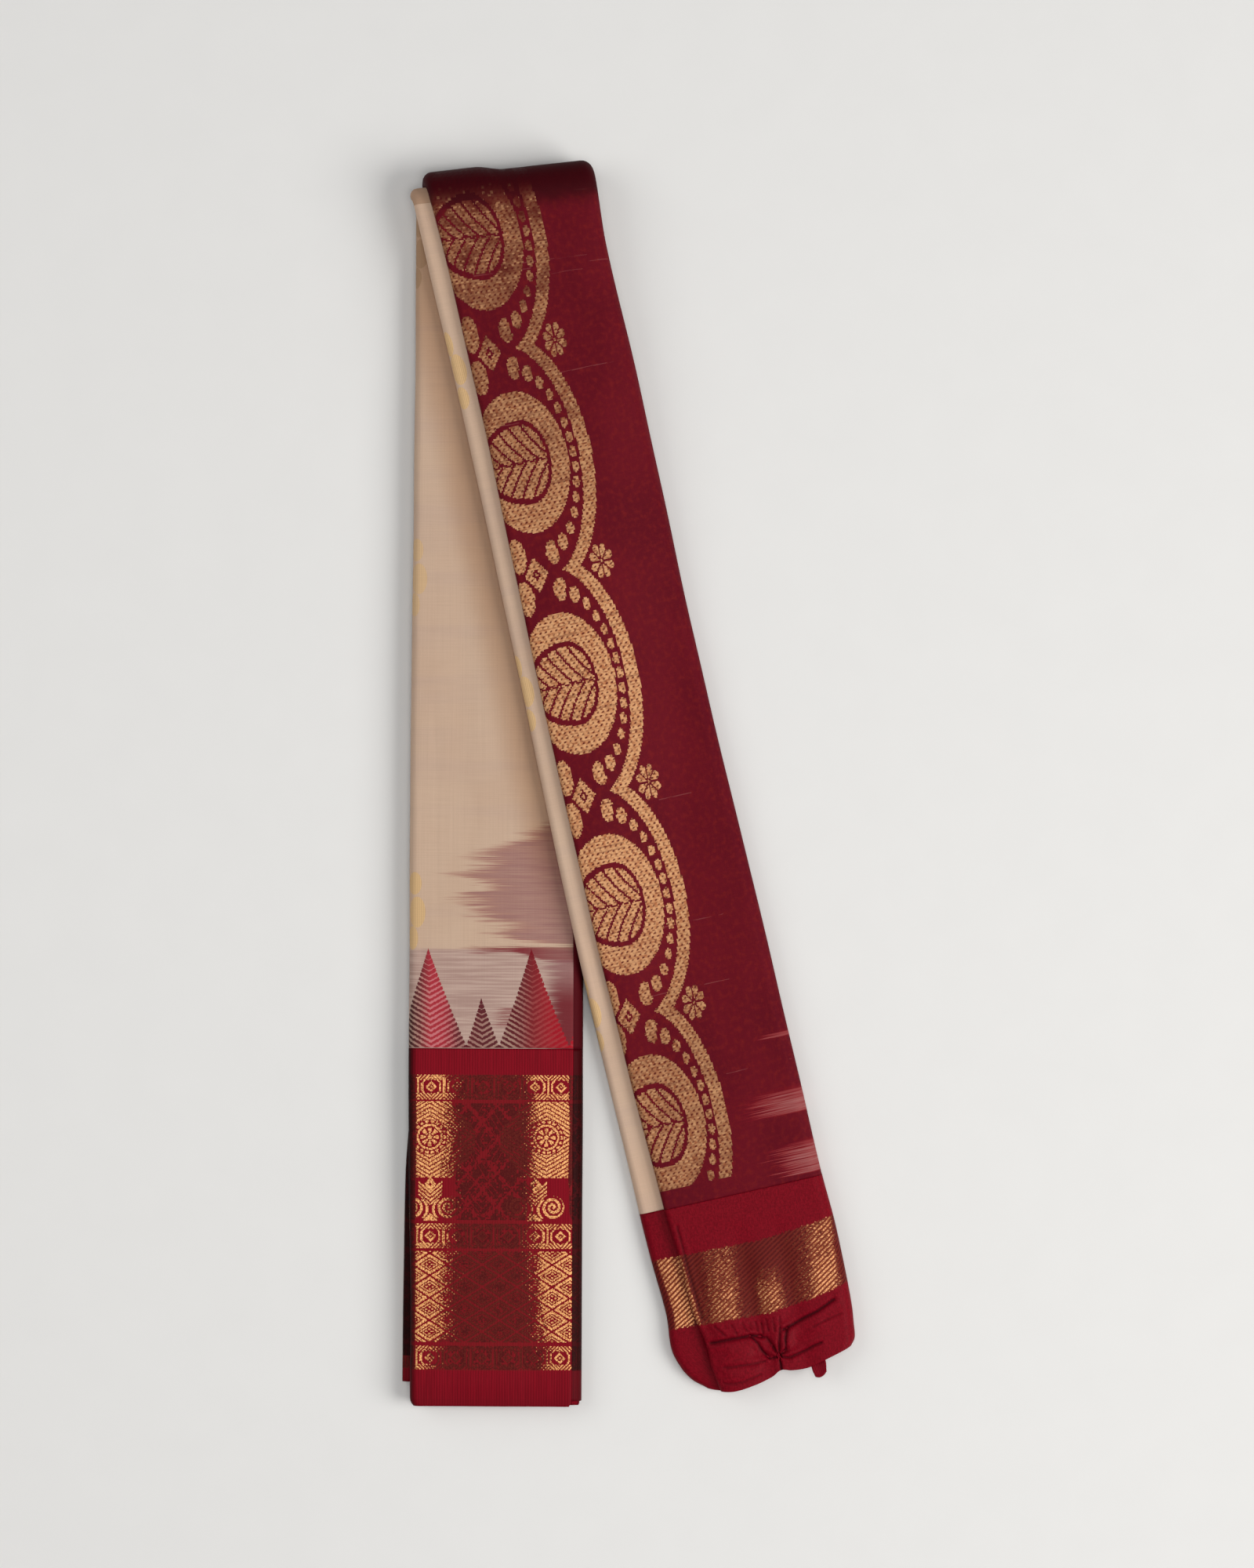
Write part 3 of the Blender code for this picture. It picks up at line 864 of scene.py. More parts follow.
class Nodes:
    """A new material's nodes, with its Principled shader's inputs.

    The numbers across and along are the cloth's own lengths, in millimetres.
    """

    def __init__(self, name: str, roughness: float, specular: float = 0.045, sheen: float = 0.0) -> None:
        """Starts a material.

        Args:
            name: The material's name.
            roughness: Its roughness where nothing else feeds it.
            specular: How much light its surface throws back, the same all over.
            sheen: Its sheen, the same all over.
        """
        self.material = bpy.data.materials.new(name)
        self.material.use_nodes = True
        self.tree = self.material.node_tree
        self.inputs = self.tree.nodes["Principled BSDF"].inputs
        self.inputs["Roughness"].default_value = roughness
        self.inputs["Sheen Weight"].default_value = sheen
        self.inputs["Sheen Roughness"].default_value = 0.4
        self.inputs["Specular IOR Level"].default_value = specular
        mapped = self.add("ShaderNodeUVMap", {"uv_map": CLOTH_MAP}).outputs[0]
        self.across, self.along, _ = self.split(mapped)

    def feed(self, socket: Socket, value: object) -> None:
        """Gives a socket a value, or a link.

        Args:
            socket: The socket.
            value: A value, or the number or the socket to link it to.
        """
        if isinstance(value, Number):
            value = value.socket
        if isinstance(value, Socket):
            self.tree.links.new(value, socket)
        else:
            socket.default_value = value

    def add(self, kind: str, settings: Settings = None, sockets: Settings = None) -> bpy.types.Node:
        """Adds a node: its settings first, then its sockets' values or links.

        Args:
            kind: The node's type.
            settings: Its properties. "stops" gives a ramp's stops, as places and colours.
            sockets: Values, numbers or sockets, by socket name or number.

        Returns:
            The node.
        """
        node = self.tree.nodes.new(kind)
        for name, value in (settings or {}).items():
            if name == "stops":
                elements = node.color_ramp.elements
                while len(elements) < len(value):
                    elements.new(1.0)
                for element, (position, colour) in zip(elements, value):
                    element.position = position
                    element.color = colour
            else:
                setattr(node, name, value)
        for name, value in (sockets or {}).items():
            self.feed(node.inputs[name], value)
        return node

    def number(self, kind: str, settings: Settings = None, sockets: Settings = None) -> Number:
        """The first output of a new node, as a number."""
        return Number(self, self.add(kind, settings, sockets).outputs[0])

    def math(self, operation: str, *values: Value) -> Number:
        """A Math node."""
        sockets = dict(enumerate(values))
        return self.number("ShaderNodeMath", {"operation": operation}, sockets)

    def vector(self, x: Value, y: Value, z: Value = 0.0) -> Socket:
        """A vector of three numbers."""
        return self.add("ShaderNodeCombineXYZ", None, {"X": x, "Y": y, "Z": z}).outputs[0]

    def split(self, vector: object) -> list[Number]:
        """A vector's three parts."""
        node = self.add("ShaderNodeSeparateXYZ", None, {"Vector": vector})
        return [Number(self, output) for output in node.outputs]

    def noise(self, x: Value, y: Value, detail: float = 2.0, z: float = 0.0) -> Number:
        """Soft noise of a place, about 0.5."""
        sockets = {"Vector": self.vector(x, y, z), "Scale": 1.0, "Detail": detail}
        return self.number("ShaderNodeTexNoise", None, sockets)

    def grain(self, per_across: float, per_along: float, detail: float = 2.0) -> Number:
        """Soft noise of the cloth, about 0.5, by how fast it changes both ways."""
        return self.noise(self.across * per_across, self.along * per_along, detail)

    def speckle(self, x: Value, y: Value) -> Number:
        """A number from 0 to 1 for each whole place, with no order to it."""
        settings = {"noise_dimensions": "2D"}
        return self.number("ShaderNodeTexWhiteNoise", settings, {"Vector": self.vector(x, y)})

    def ramp(self, place: Number, points: Sequence[tuple[float, Colour]]) -> Socket:
        """A colour read from colours listed by place.

        Args:
            place: Where to read it.
            points: Places and colours, in order.

        Returns:
            The colour's socket.
        """
        start, end = points[0][0], points[-1][0]
        stops = [((at - start) / (end - start), colour) for at, colour in points]
        part = (place - start) / (end - start)
        return self.add("ShaderNodeValToRGB", {"stops": stops}, {"Fac": part}).outputs[0]

    def profile(self, place: Number, points: Sequence[Pair]) -> Number:
        """A number read from a line through points.

        Args:
            place: Where to read it.
            points: Places and values, in order.

        Returns:
            The number.
        """
        low, high = min(v for _, v in points), max(v for _, v in points)
        parts = [(at, (value - low) / (high - low)) for at, value in points]
        greys = [(at, (part, part, part, 1.0)) for at, part in parts]
        return Number(self, self.ramp(place, greys)) * (high - low) + low

    def mix(self, factor: Value, first: object, second: object) -> Socket:
        """A colour between two.

        Args:
            factor: 0 for the first, 1 for the second.
            first: A colour or a socket.
            second: A colour or a socket.

        Returns:
            The mixed colour's socket.
        """
        sockets = {"Factor": factor, 6: first, 7: second}
        return self.add("ShaderNodeMix", {"data_type": "RGBA"}, sockets).outputs[2]

    def shade(self, colour: object, factor: Value) -> Socket:
        """A colour made lighter or darker by a factor near 1."""
        return self.tint(colour, (factor, factor, factor))

    def tint(self, colour: object, parts: Sequence[Value]) -> Socket:
        """A colour with its red, green and blue multiplied by three numbers."""
        sockets = {0: 1.0, 6: colour, 7: self.vector(*parts)}
        return self.add("ShaderNodeMix", {"data_type": "RGBA", "blend_type": "MULTIPLY"}, sockets).outputs[2]

    def folded(self, colour: object, fold_shadow_colour: Colour) -> Socket:
        """The colour, with painted shade at the bottom of the folds."""
        dark = self.number("ShaderNodeAttribute", {"attribute_name": SHADOW})
        return self.mix(self.split(dark)[0], colour, fold_shadow_colour)

    def finish(
        self, colour: object, height: Optional[Number] = None, depth: float = 0.0, **others: Value
    ) -> Material:
        """Feeds the shader.

        Args:
            colour: The base colour's socket or value.
            height: The weave's height, 0 to 1.
            depth: The depth of the weave, in metres.
            **others: What feeds other inputs, by their names.

        Returns:
            The material.
        """
        fed = {"Base Color": colour, **others}
        if height is not None:
            sockets = {"Height": height, "Distance": depth, "Strength": 1.0}
            fed["Normal"] = self.add("ShaderNodeBump", None, sockets).outputs[0]
        for name, value in fed.items():
            self.feed(self.inputs[name], value)
        return self.material


@dataclass(frozen=True)
class PalluFinish:
    """Maroon silk with a row of ring medallions in orange-tan zari. Lengths in millimetres."""

    right_start: float
    ground: Colour = srgb(98, 13, 26)
    ground_rust: Colour = srgb(119, 27, 25)
    ground_deep: Colour = srgb(90, 10, 24)
    thread: Colour = srgb(170, 100, 60)
    thread_pale: Colour = srgb(208, 154, 108)
    thread_gap: Colour = srgb(86, 28, 23)
    thread_painted_shade: Colour = srgb(84, 22, 18)
    fold_painted_shade: Colour = srgb(50, 4, 9)
    slub: Colour = srgb(156, 88, 84)
    resist: Colour = srgb(164, 108, 104)
    resist_edge: Colour = srgb(132, 18, 28)
    zari_painted_shade: Points = (
        (-20, 1), (-2, 0.97), (4, 0.88), (11, 0.7), (52, 0.68), (69, 0.53),
        (104, 0.49), (134, 0.32), (160, 0.16), (200, 0), (340, 0), (390, 0.28),
        (420, 0.40), (455, 0.37), (483, 0.50),
    )
    first_medallion: float = 18.7
    last_zari: float = 481.2
    medallion_period: float = 107.8
    medallion_across: float = -19.1
    drift: float = -0.0105
    last_shift: float = 2.2
    last_shift_along: Pair = (370.0, 430.0)
    ring: Pair = (21.8, 34.2)
    band_outer: Pair = (33.1, 62.5)
    band_inner: Pair = (26.9, 56.2)
    chain_round: Pair = (24.3, 45.8)
    chain_bead: Pair = (1.6, 2.75)
    petal_middle: Pair = (-12.2, 43.6)
    petal: Pair = (4.1, 8.5)
    diamond_middle: Pair = (-4.9, 53.9)
    diamond: Pair = (5.6, 8.6)
    leaf_left: float = 20.3
    leaf_right: float = 11.5
    leaf_half: float = 19.0
    vein_spacing: float = 5.8
    rosette: Pair = (5.5, 8.4)
    cell_across: float = 1.27
    cell_along: float = 0.775
    rosette_cell: float = 0.52
    missed_pick: float = 13.0
    wedges: Rows = (
        (27, 417, 421.5, 13), (9.7, 444.5, 458, 33), (20, 470.5, 487.6, 22),
    )
    bead_waves: Rows = (
        (0.39, 0.30, 0.24), (-0.39, 0.17, 0.24), (0, 0.70, 0.14), (0.39, 0.77, 0.14),
    )

    def material(self) -> Material:
        """Weaves the finish."""
        nodes = Nodes("pallu_silk", roughness=0.55)
        across, along = nodes.across, nodes.along
        yarns = nodes.grain(1.9, 0.22) + nodes.grain(0.3, 1.7)
        beads = self.beads(across, along)
        zari = self.figures(across, along)
        ground = self.silk(nodes, yarns)
        gold = self.gold(nodes, beads)
        on_right = (along - self.right_start).rise(-4, 4)
        colour = nodes.mix(zari * on_right, ground, gold)
        height = zari * (0.5 + beads * 0.5) + yarns * 0.12
        return nodes.finish(colour, height, 0.16 * MM, Roughness=0.6 - zari * 0.12)

    def figures(self, across: Number, along: Number) -> Number:
        """Medallions and rosettes, stepped by the weave's cells.

        Args:
            across: Across the cloth.
            along: Along it.

        Returns:
            1 where the gold weft shows.
        """
        first = self.right_start + self.first_medallion
        motif_y = along.snap(self.cell_along) - first
        sway = motif_y * self.drift + self.medallion_across
        run = along - self.right_start
        sway = sway - run.rise(*self.last_shift_along) * self.last_shift
        x = across.snap(self.cell_along) - sway
        zari = self.medallions(motif_y.cell(self.medallion_period), x)
        petal_x, petal_y = across.snap(self.rosette_cell), along.snap(self.rosette_cell)
        zari = zari | self.rosettes(petal_y - first, petal_x - sway)
        return zari & (run < self.last_zari)

    def gold(self, nodes: Nodes, beads: Number) -> object:
        """The gold weft's colour: beads with maroon between, dulled by painted shade by place along the
        cloth, with a few painted glints.

        Args:
            nodes: The material's nodes.
            beads: The weft's beads, about 0 to 1.

        Returns:
            The colour.
        """
        across, along = nodes.across, nodes.along
        row, column = (along / self.cell_along).floor(), (across / self.cell_across).floor()
        speck = nodes.speckle(column, row)
        # The gold is paler in slow patches and in scattered cells.
        pale_patches = nodes.grain(0.35, 0.3, detail=3)
        gold = nodes.mix((speck * 0.9 + pale_patches.rise(0.3, 0.7) * 0.5), self.thread, self.thread_pale)
        missed = nodes.speckle(row, (across / self.missed_pick).floor()) > 0.97
        gap = (beads + speck * 0.3).rise(-0.1, 0.86) * (1 - missed * 0.4)
        gold = nodes.mix(gap, self.thread_gap, gold)
        # Painted shade: the gold is dulled towards a dark brown by place along the leg, unevenly in patches;
        # painted glints spare a few cells.
        dim = nodes.profile(along - self.right_start, self.zari_painted_shade)
        patches = nodes.grain(0.07, 0.11, detail=3) - 0.5
        dim = dim + patches * dim * (1 - dim.rise(0.8, 1)) * 1.7
        painted_glint = (speck > 0.9) * dim * 0.35
        return nodes.mix(dim - painted_glint, gold, self.thread_painted_shade)

    def silk(self, nodes: Nodes, yarns: Number) -> object:
        """The maroon ground: mottled silk, slubs, resist-dyed wedges, painted shade over the fold and back
        along the left leg, and painted light on the left leg's wrap near the right edge.

        Args:
            nodes: The material's nodes.
            yarns: Noise along single yarns, both ways.

        Returns:
            The colour.
        """
        across, along = nodes.across, nodes.along
        run = along - self.right_start
        # Painted shade: the cloth over the fold and back along the left leg is darkened towards a deep
        # maroon.
        turned = (4 - run + nodes.grain(0.08, 0.1) * 9).rise(-3, 10)
        mottle = nodes.grain(0.4, 0.34, detail=4)
        clouds = nodes.grain(0.03, 0.016, detail=2)
        ground = nodes.mix(clouds.rise(0.35, 0.65), self.ground_deep, self.ground)
        ground = nodes.mix(mottle.rise(0.42, 0.78) * 0.5, ground, self.ground_rust)
        ground = nodes.shade(ground, 0.76 + yarns * 0.24)
        thin = nodes.speckle((along / 0.5).floor(), (across / 30 + clouds * 4).floor())
        slub = (thin > 0.996) & (nodes.grain(0.12, 2) > 0.48)
        ground = nodes.mix(slub * 0.26, ground, self.slub)
        ground = nodes.mix(turned * 0.9, ground, self.fold_painted_shade)
        resist = self.resist_streaks(nodes, across, run)
        ground = nodes.mix(resist.rise(0, 0.3) * 0.8, ground, self.resist_edge)
        ground = nodes.mix((resist - 0.12) * 1.1, ground, self.resist)
        # Painted light: on the left leg, the cloth that wraps round past 45 mm across is made lighter.
        beside = (across - 45).rise(0, 7) * (run < -40)
        return nodes.shade(ground, 1 + beside * 0.7)

    def beads(self, across: Number, along: Number) -> Number:
        """The gold weft's beads: a slanting lattice of long floats, about 0 to 1."""
        waves = [((across * x + along * y) * TURN).cosine() * high for x, y, high in self.bead_waves]
        return sum(waves[1:], waves[0]) + 0.5

    def medallions(self, y: Number, x: Number) -> Number:
        """Rings with leaves, the chain of ovals round them and the scalloped band.

        Args:
            y: Along, from the medallion's middle.
            x: Across, from its middle.

        Returns:
            1 where the gold weft shows.
        """
        side = abs(y)
        ring = oval(x, y, *self.ring) < 1
        leaf = self.leaf(x, y)
        petals = self.chain(x, side)
        (middle_x, middle_y), (half_x, half_y) = self.diamond_middle, self.diamond
        diamond = abs(x - middle_x) / half_x + (middle_y - side) / half_y
        middle_x, middle_y = self.petal_middle
        big_petal = oval(x - middle_x, side - middle_y, *self.petal) < 1
        diamond = ((diamond < 1) & (diamond > 0.36)) | (diamond < 0.14)
        band = (oval(x, y, *self.band_outer) < 1) & (oval(x, y, *self.band_inner) > 1) & (x > 0)
        return either(ring & leaf, petals, big_petal, diamond, band)

    def leaf(self, x: Number, y: Number) -> Number:
        """0 on the maroon lines of the leaf inside a ring, 1 elsewhere.

        Args:
            x: Across, from the medallion's middle.
            y: Along, from its middle.

        Returns:
            The mask.
        """
        off = x - 1.0
        half = self.leaf_left - (off > 0) * (self.leaf_left - self.leaf_right)
        size = oval(off, y, half, self.leaf_half).root()
        outline = abs(size - 1) * 16 < 1.1
        side = abs(y)
        slant = x + side * 0.86 - side * side * 0.012 - 7.6
        veins = abs(slant.cell(self.vein_spacing)) < 0.62
        midrib = abs(y + (x * 1.1).sine() * 0.5) < 0.5
        lines = (veins | midrib) & (size < 1)
        return 1 - (outline | lines)

    def chain(self, x: Number, side: Number) -> Number:
        """The chain of ovals round a ring, larger towards the cusps.

        Args:
            x: Across, from the medallion's middle.
            side: Along, from its middle, either way.

        Returns:
            1 on an oval.
        """
        round_x, round_y = self.chain_round
        turn = (side / round_y).angle(x / round_x) * (180 / math.pi)
        count = (turn / 9 - turn * turn * turn * 4.14e-6).nearest().at_most(7)
        turn = (count * 9 + count * count * count * 0.044) * (math.pi / 180)
        off_x = x - turn.cosine() * round_x
        off_y = side - turn.sine() * round_y
        late = (count - 4).at_least(0)
        grown = 1 + late * late * 0.12
        bead_x, bead_y = self.chain_bead
        return oval(off_x, off_y, grown * bead_x, grown * bead_y) < 1

    def rosettes(self, y: Number, x: Number) -> Number:
        """Eight-petalled rosettes in the cusps of the band.

        Args:
            y: Along, from the first medallion's middle.
            x: Across, from the medallions' middle.

        Returns:
            1 on a petal.
        """
        half_x, half_y = self.rosette
        y = (y - self.medallion_period / 2).cell(self.medallion_period) / half_y
        x = (x - self.band_inner[0]) / half_x
        size = distance(x, y)
        wave = abs((y.angle(x) * 4).sine())
        petal = (size < 0.7 + wave * 0.34) & (size * wave > 0.2)
        return petal | (size < 0.1)

    def resist_streaks(self, nodes: Nodes, across: Number, run: Number) -> Number:
        """Pale wedges of resist-dyed weft that run in from the right edge.

        Args:
            nodes: The material's nodes.
            across: Across the cloth.
            run: Along the right leg.

        Returns:
            How pale the cloth is, 0 to 1.
        """
        streak = nodes.noise(across * 0.035, run * 1.5, detail=4) - 0.5
        shown = []
        for tip, start, end, reach in self.wedges:
            inside = (run - start).rise(-0.8, 6) & (end - run).rise(-0.6, 1.2)
            shown.append((across - tip + streak * 44).rise(0, reach) * inside)
        return either(*shown) * (0.5 + streak * 1.3)


@dataclass(frozen=True)
class Temple:
    """A temple point woven up from the border. Lengths in millimetres."""

    middle: float
    half_base: float
    height: float
    rung: float


@dataclass(frozen=True)
class CottonFinish:
    """Cream cotton with resist-dyed streaks, temple points and small gold figures."""

    border: float
    right_start: float
    cream: Colour = srgb(194, 165, 141)
    cream_deep: Colour = srgb(184, 152, 128)
    cream_grey: Colour = srgb(180, 153, 137)
    lilac: Colour = srgb(182, 154, 141)
    lilac_dark: Colour = srgb(160, 129, 119)
    mauve: Colour = srgb(154, 110, 101)
    mauve_deep: Colour = srgb(136, 88, 88)
    tips: Colour = srgb(152, 94, 80)
    rose: Colour = srgb(108, 22, 32)
    madder: Colour = srgb(118, 26, 38)
    figure: Colour = srgb(208, 172, 122)
    figure_line: Colour = srgb(182, 142, 98)
    warm: tuple[float, float, float] = (0.84, 0.75, 0.67)
    red_by_place: ColourPoints = (
        (-42, srgb(58, 22, 24)), (-37, srgb(92, 26, 32)), (-32, srgb(162, 36, 50)),
        (-26, srgb(158, 30, 46)), (-19, srgb(88, 16, 28)), (4, srgb(80, 16, 26)),
        (12, srgb(92, 10, 22)), (19, srgb(124, 8, 24)), (26, srgb(152, 14, 30)),
        (40, srgb(166, 16, 32)),
    )
    gap_by_place: ColourPoints = (
        (-42, srgb(150, 124, 108)), (-36, srgb(170, 116, 106)), (-31, srgb(196, 108, 112)),
        (-24, srgb(182, 104, 104)), (-17, srgb(146, 100, 92)), (6, srgb(158, 124, 108)),
        (12, srgb(146, 92, 84)), (17, srgb(138, 52, 52)), (23, srgb(152, 46, 50)),
        (40, srgb(162, 42, 48)),
    )
    wedge_edge: Points = (
        (219.5, 44), (222.5, 8), (226, -5), (230, 0), (234, -13), (240, -19),
        (246, -19), (249.5, -9), (255, -22), (260, -9), (263.5, -17), (268, -6),
        (272, 10), (279, 18), (284, 32), (291, 48),
    )
    temple_field: Pair = (46.6, 48.4)
    roll_meets: Pair = (41.0, 227.0)
    roll_slope: float = 0.2244
    figure_lobes: Rows = (
        (5.8, 0, 4.1, 7.4), (4.6, 13.8, 3.4, 5.4), (3.6, -12.4, 2.8, 5.6),
    )
    figure_middle: float = -44.6
    first_figure: float = 236.6
    first_right_figure: float = 678.8
    figure_period: float = 159.7
    right_figure_period: float = 157.2
    temple_period: float = 49.4
    temple_lean: float = -0.036
    large: Temple = Temple(17.8, 17, 46.5, 2.62)
    small: Temple = Temple(-6.9, 8, 22.8, 2.62)

    def material(self) -> Material:
        """Weaves the finish."""
        nodes = Nodes("body_cotton", roughness=0.8, specular=0.15, sheen=0.05)
        across, along = nodes.across, nodes.along
        wefts = nodes.grain(0.05, 2.4, detail=3)
        warps = nodes.grain(1.5, 0.02, detail=3)
        clouds = nodes.grain(0.035, 0.016, detail=3)
        bars = nodes.noise(across * 0.01, along * 0.09, z=4)
        streak = nodes.grain(0.028, 0.62, detail=4) - 0.5
        colour = nodes.mix(clouds.rise(0.35, 0.7) * 0.4, self.cream, self.cream_deep)
        colour = nodes.mix(bars.rise(0.45, 0.75) * 0.3, colour, self.cream_grey)
        above = along - self.border
        near_border = (1 - (above + streak * 3).rise(*self.temple_field)) & (along < self.right_start)
        picks = nodes.noise(across * 0.03, along * 1.1, detail=4, z=9)
        ground = nodes.mix(picks.rise(0.38, 0.62), self.lilac, self.lilac_dark)
        colour = nodes.mix(near_border * 0.9, colour, ground)
        colour = self.streaks(nodes, colour, streak, wefts)
        colour = self.temples(nodes, colour, across, above)
        colour = self.figures(nodes, colour)
        # Painted light: the roll on the right leg, past 36 mm to the left, is made lighter.
        roll = (-36 - across).rise(0, 6) * (along > self.right_start) * 0.16
        colour = nodes.shade(colour, 0.86 + wefts * 0.16 + warps * 0.12 + roll)
        colour = nodes.mix(self.roll_shade(across, along), colour, nodes.tint(colour, self.warm))
        return nodes.finish(colour, wefts * 0.5 + warps * 0.5, 0.12 * MM)

    def roll_shade(self, across: Number, along: Number) -> Number:
        """The warm, dim shade on the left leg beside the roll that lies over it.

        Args:
            across: Across the cloth.
            along: Along it.

        Returns:
            How deep the shade is, 0 to 1.
        """
        meet_across, meet_along = self.roll_meets
        roll_edge = (meet_along - along) * self.roll_slope + meet_across
        beside = 1 - (roll_edge - across).rise(10, 25)
        return beside * (along - 220).rise(0, 60) * (along < self.right_start)

    def streaks(self, nodes: Nodes, colour: object, streak: Number, wefts: Number) -> object:
        """The feathered resist-dyed streaks that run in from the right.

        Args:
            nodes: The material's nodes.
            colour: The cloth's colour so far.
            streak: Slow noise drawn out across the cloth.
            wefts: Fine noise along single wefts.

        Returns:
            The colour with the streaks.
        """
        across, along = nodes.across, nodes.along
        edge = nodes.profile(along, self.wedge_edge)
        loose = streak * 46 + (wefts - 0.5) * 36
        mauve = nodes.mix((streak + wefts - 0.5).rise(-0.2, 0.3), self.mauve, self.mauve_deep)
        reach = across - edge + loose
        mauve = nodes.mix((1 - reach.rise(6, 20)) * 0.7, mauve, self.tips)
        wedge = reach.rise(-2, 15) & along.between(221.8, 291)
        colour = nodes.mix(wedge * (0.66 + wefts * 0.3), colour, mauve)
        lower = 217.8 - (across - 2).rise(0, 30) * 5.0
        rough = streak * 4 + (wefts - 0.5) * 5
        dark = 1 - (along + rough).rise(219.4, 221.2)
        dark = dark & (along - lower + rough).rise(-0.8, 0.8)
        dark = dark & (across + 17 + loose * 0.8).rise(0, 18)
        faint = (across - 8).rise(0, 22) * 0.24
        colour = nodes.mix(dark * (0.94 - faint), colour, self.madder)
        side = (across - 24 + loose * 0.3).rise(-3, 7) & along.between(self.border, 214)
        colour = nodes.mix(side * 0.75, colour, self.mauve_deep)
        colour = nodes.mix(side * (212 - along).rise(0, 20) * 0.9, colour, self.rose)
        low = along.between(181.5, 191) & (across + 1 + loose * 0.5).rise(-2, 6)
        low = low & (across < 10) & (wefts > 0.47)
        return nodes.mix(low * 0.6, colour, self.madder)

    def temples(self, nodes: Nodes, colour: object, across: Number, above: Number) -> object:
        """The row of large and small temple points, each with its rungs.

        Args:
            nodes: The material's nodes.
            colour: The cloth's colour so far.
            across: Across the cloth.
            above: Along, from the border's edge.

        Returns:
            The colour with the points.
        """
        leaned = across - above * self.temple_lean
        grain = nodes.noise(across * 0.9, above * 1.3, detail=3) - 0.5
        rough = above + grain * 1.5
        red = nodes.shade(nodes.ramp(across, self.red_by_place), 1 + grain * 0.5)
        gap = nodes.shade(nodes.ramp(across, self.gap_by_place), 1 + grain * 0.3)
        for temple in (self.large, self.small):
            side = abs((leaned - temple.middle).cell(self.temple_period))
            part = above / temple.height
            half = (1 - part) * temple.half_base * (1 - part * 0.1)
            phase = ((rough - side * 0.58) / temple.rung).fraction()
            rungs = (phase - 0.44 + (part - 0.55).at_least(0)).rise(-0.06, 0.06)
            woven = nodes.mix(rungs, gap, red)
            reach = half + rungs * 0.55 - 0.1
            inside = (side + grain * 0.7 < reach) & above.between(0.3, temple.height + 1.8)
            inside = inside & (across < 37.5)
            colour = nodes.mix(inside * 0.96, colour, woven)
        return colour

    def figures(self, nodes: Nodes, colour: object) -> object:
        """Small gold figures along the roll, half of each on its far side.

        Args:
            nodes: The material's nodes.
            colour: The cloth's colour so far.

        Returns:
            The colour with the figures.
        """
        across, along = nodes.across, nodes.along
        on_right = along > self.right_start
        start = self.first_figure + on_right * (self.first_right_figure - self.first_figure)
        period = self.figure_period + on_right * (self.right_figure_period - self.figure_period)
        rounds = ((along - start) / period).nearest().at_least(0)
        y = along - start - rounds * period
        x = abs(across - self.figure_middle)
        inside = either(*(oval(x - off, y - up, *half) < 1 for off, up, *half in self.figure_lobes))
        lines = (across / 0.9).fraction() < 0.4
        gold = nodes.mix(lines * 0.6, self.figure, self.figure_line)
        # Painted shade: on the left leg, the figures darken towards the fold from 500 mm along.
        gold = nodes.shade(gold, 1 - (along - 500).rise(0, 30) * (1 - on_right) * 0.5)
        fade = 0.9 - rounds * 0.25 * (1 - on_right)
        return nodes.mix(inside * fade, colour, gold)


@dataclass(frozen=True)
class ZariWeave:
    """How gold thread shows in a border: painted light makes it bright near the edges, and painted shade
    makes it dull brown in the middle.
    """

    # Painted light: the lit colours are the gold where it is painted as catching the light; painted shade:
    # the dull colours are the gold painted as lying in shade.
    lit: Colour = srgb(208, 136, 80)
    lit_pale: Colour = srgb(238, 180, 118)
    lit_low: Colour = srgb(146, 78, 46)
    dull: Colour = srgb(80, 18, 19)
    dull_pale: Colour = srgb(100, 34, 26)
    pitch: float = 0.44
    dot_spacing: float = 1.76
    dots: float = 0.62
    unevenness: float = 0.5
    softness: float = 0.3

    def thread(
        self, nodes: Nodes, lit: Number, column: Number, row: Number, raised: Value = 0.0
    ) -> tuple[object, Number]:
        """The colour of the gold thread, cell by cell.

        Args:
            nodes: The material's nodes.
            lit: How much of the thread is painted as catching the light, 0 to 1.
            column: The weave's column.
            row: The weave's row.
            raised: Where thread in painted shade is a little paler, 0 to 1.

        Returns:
            The thread's colour, and how much each cell is lit.
        """
        turn = TURN * self.pitch / self.dot_spacing
        dot = (column * turn).cosine() * (row * turn).cosine()
        speck = nodes.speckle((column * 0.5).floor(), row)
        grain = nodes.speckle(row + 17, column)
        level = lit * 1.1 - (0.5 - dot * 0.5) * self.dots - speck * self.unevenness
        shines = level.rise(0, self.softness)
        gold = nodes.mix(grain * level.rise(0, 0.6), self.lit, self.lit_pale)
        gold = nodes.mix((grain < 0.25) * 0.7, gold, self.lit_low)
        paler = (grain > 0.7) * 0.4 + raised * 0.4
        dull = nodes.mix(paler, self.dull, self.dull_pale)
        return nodes.mix(shines, dull, gold), shines


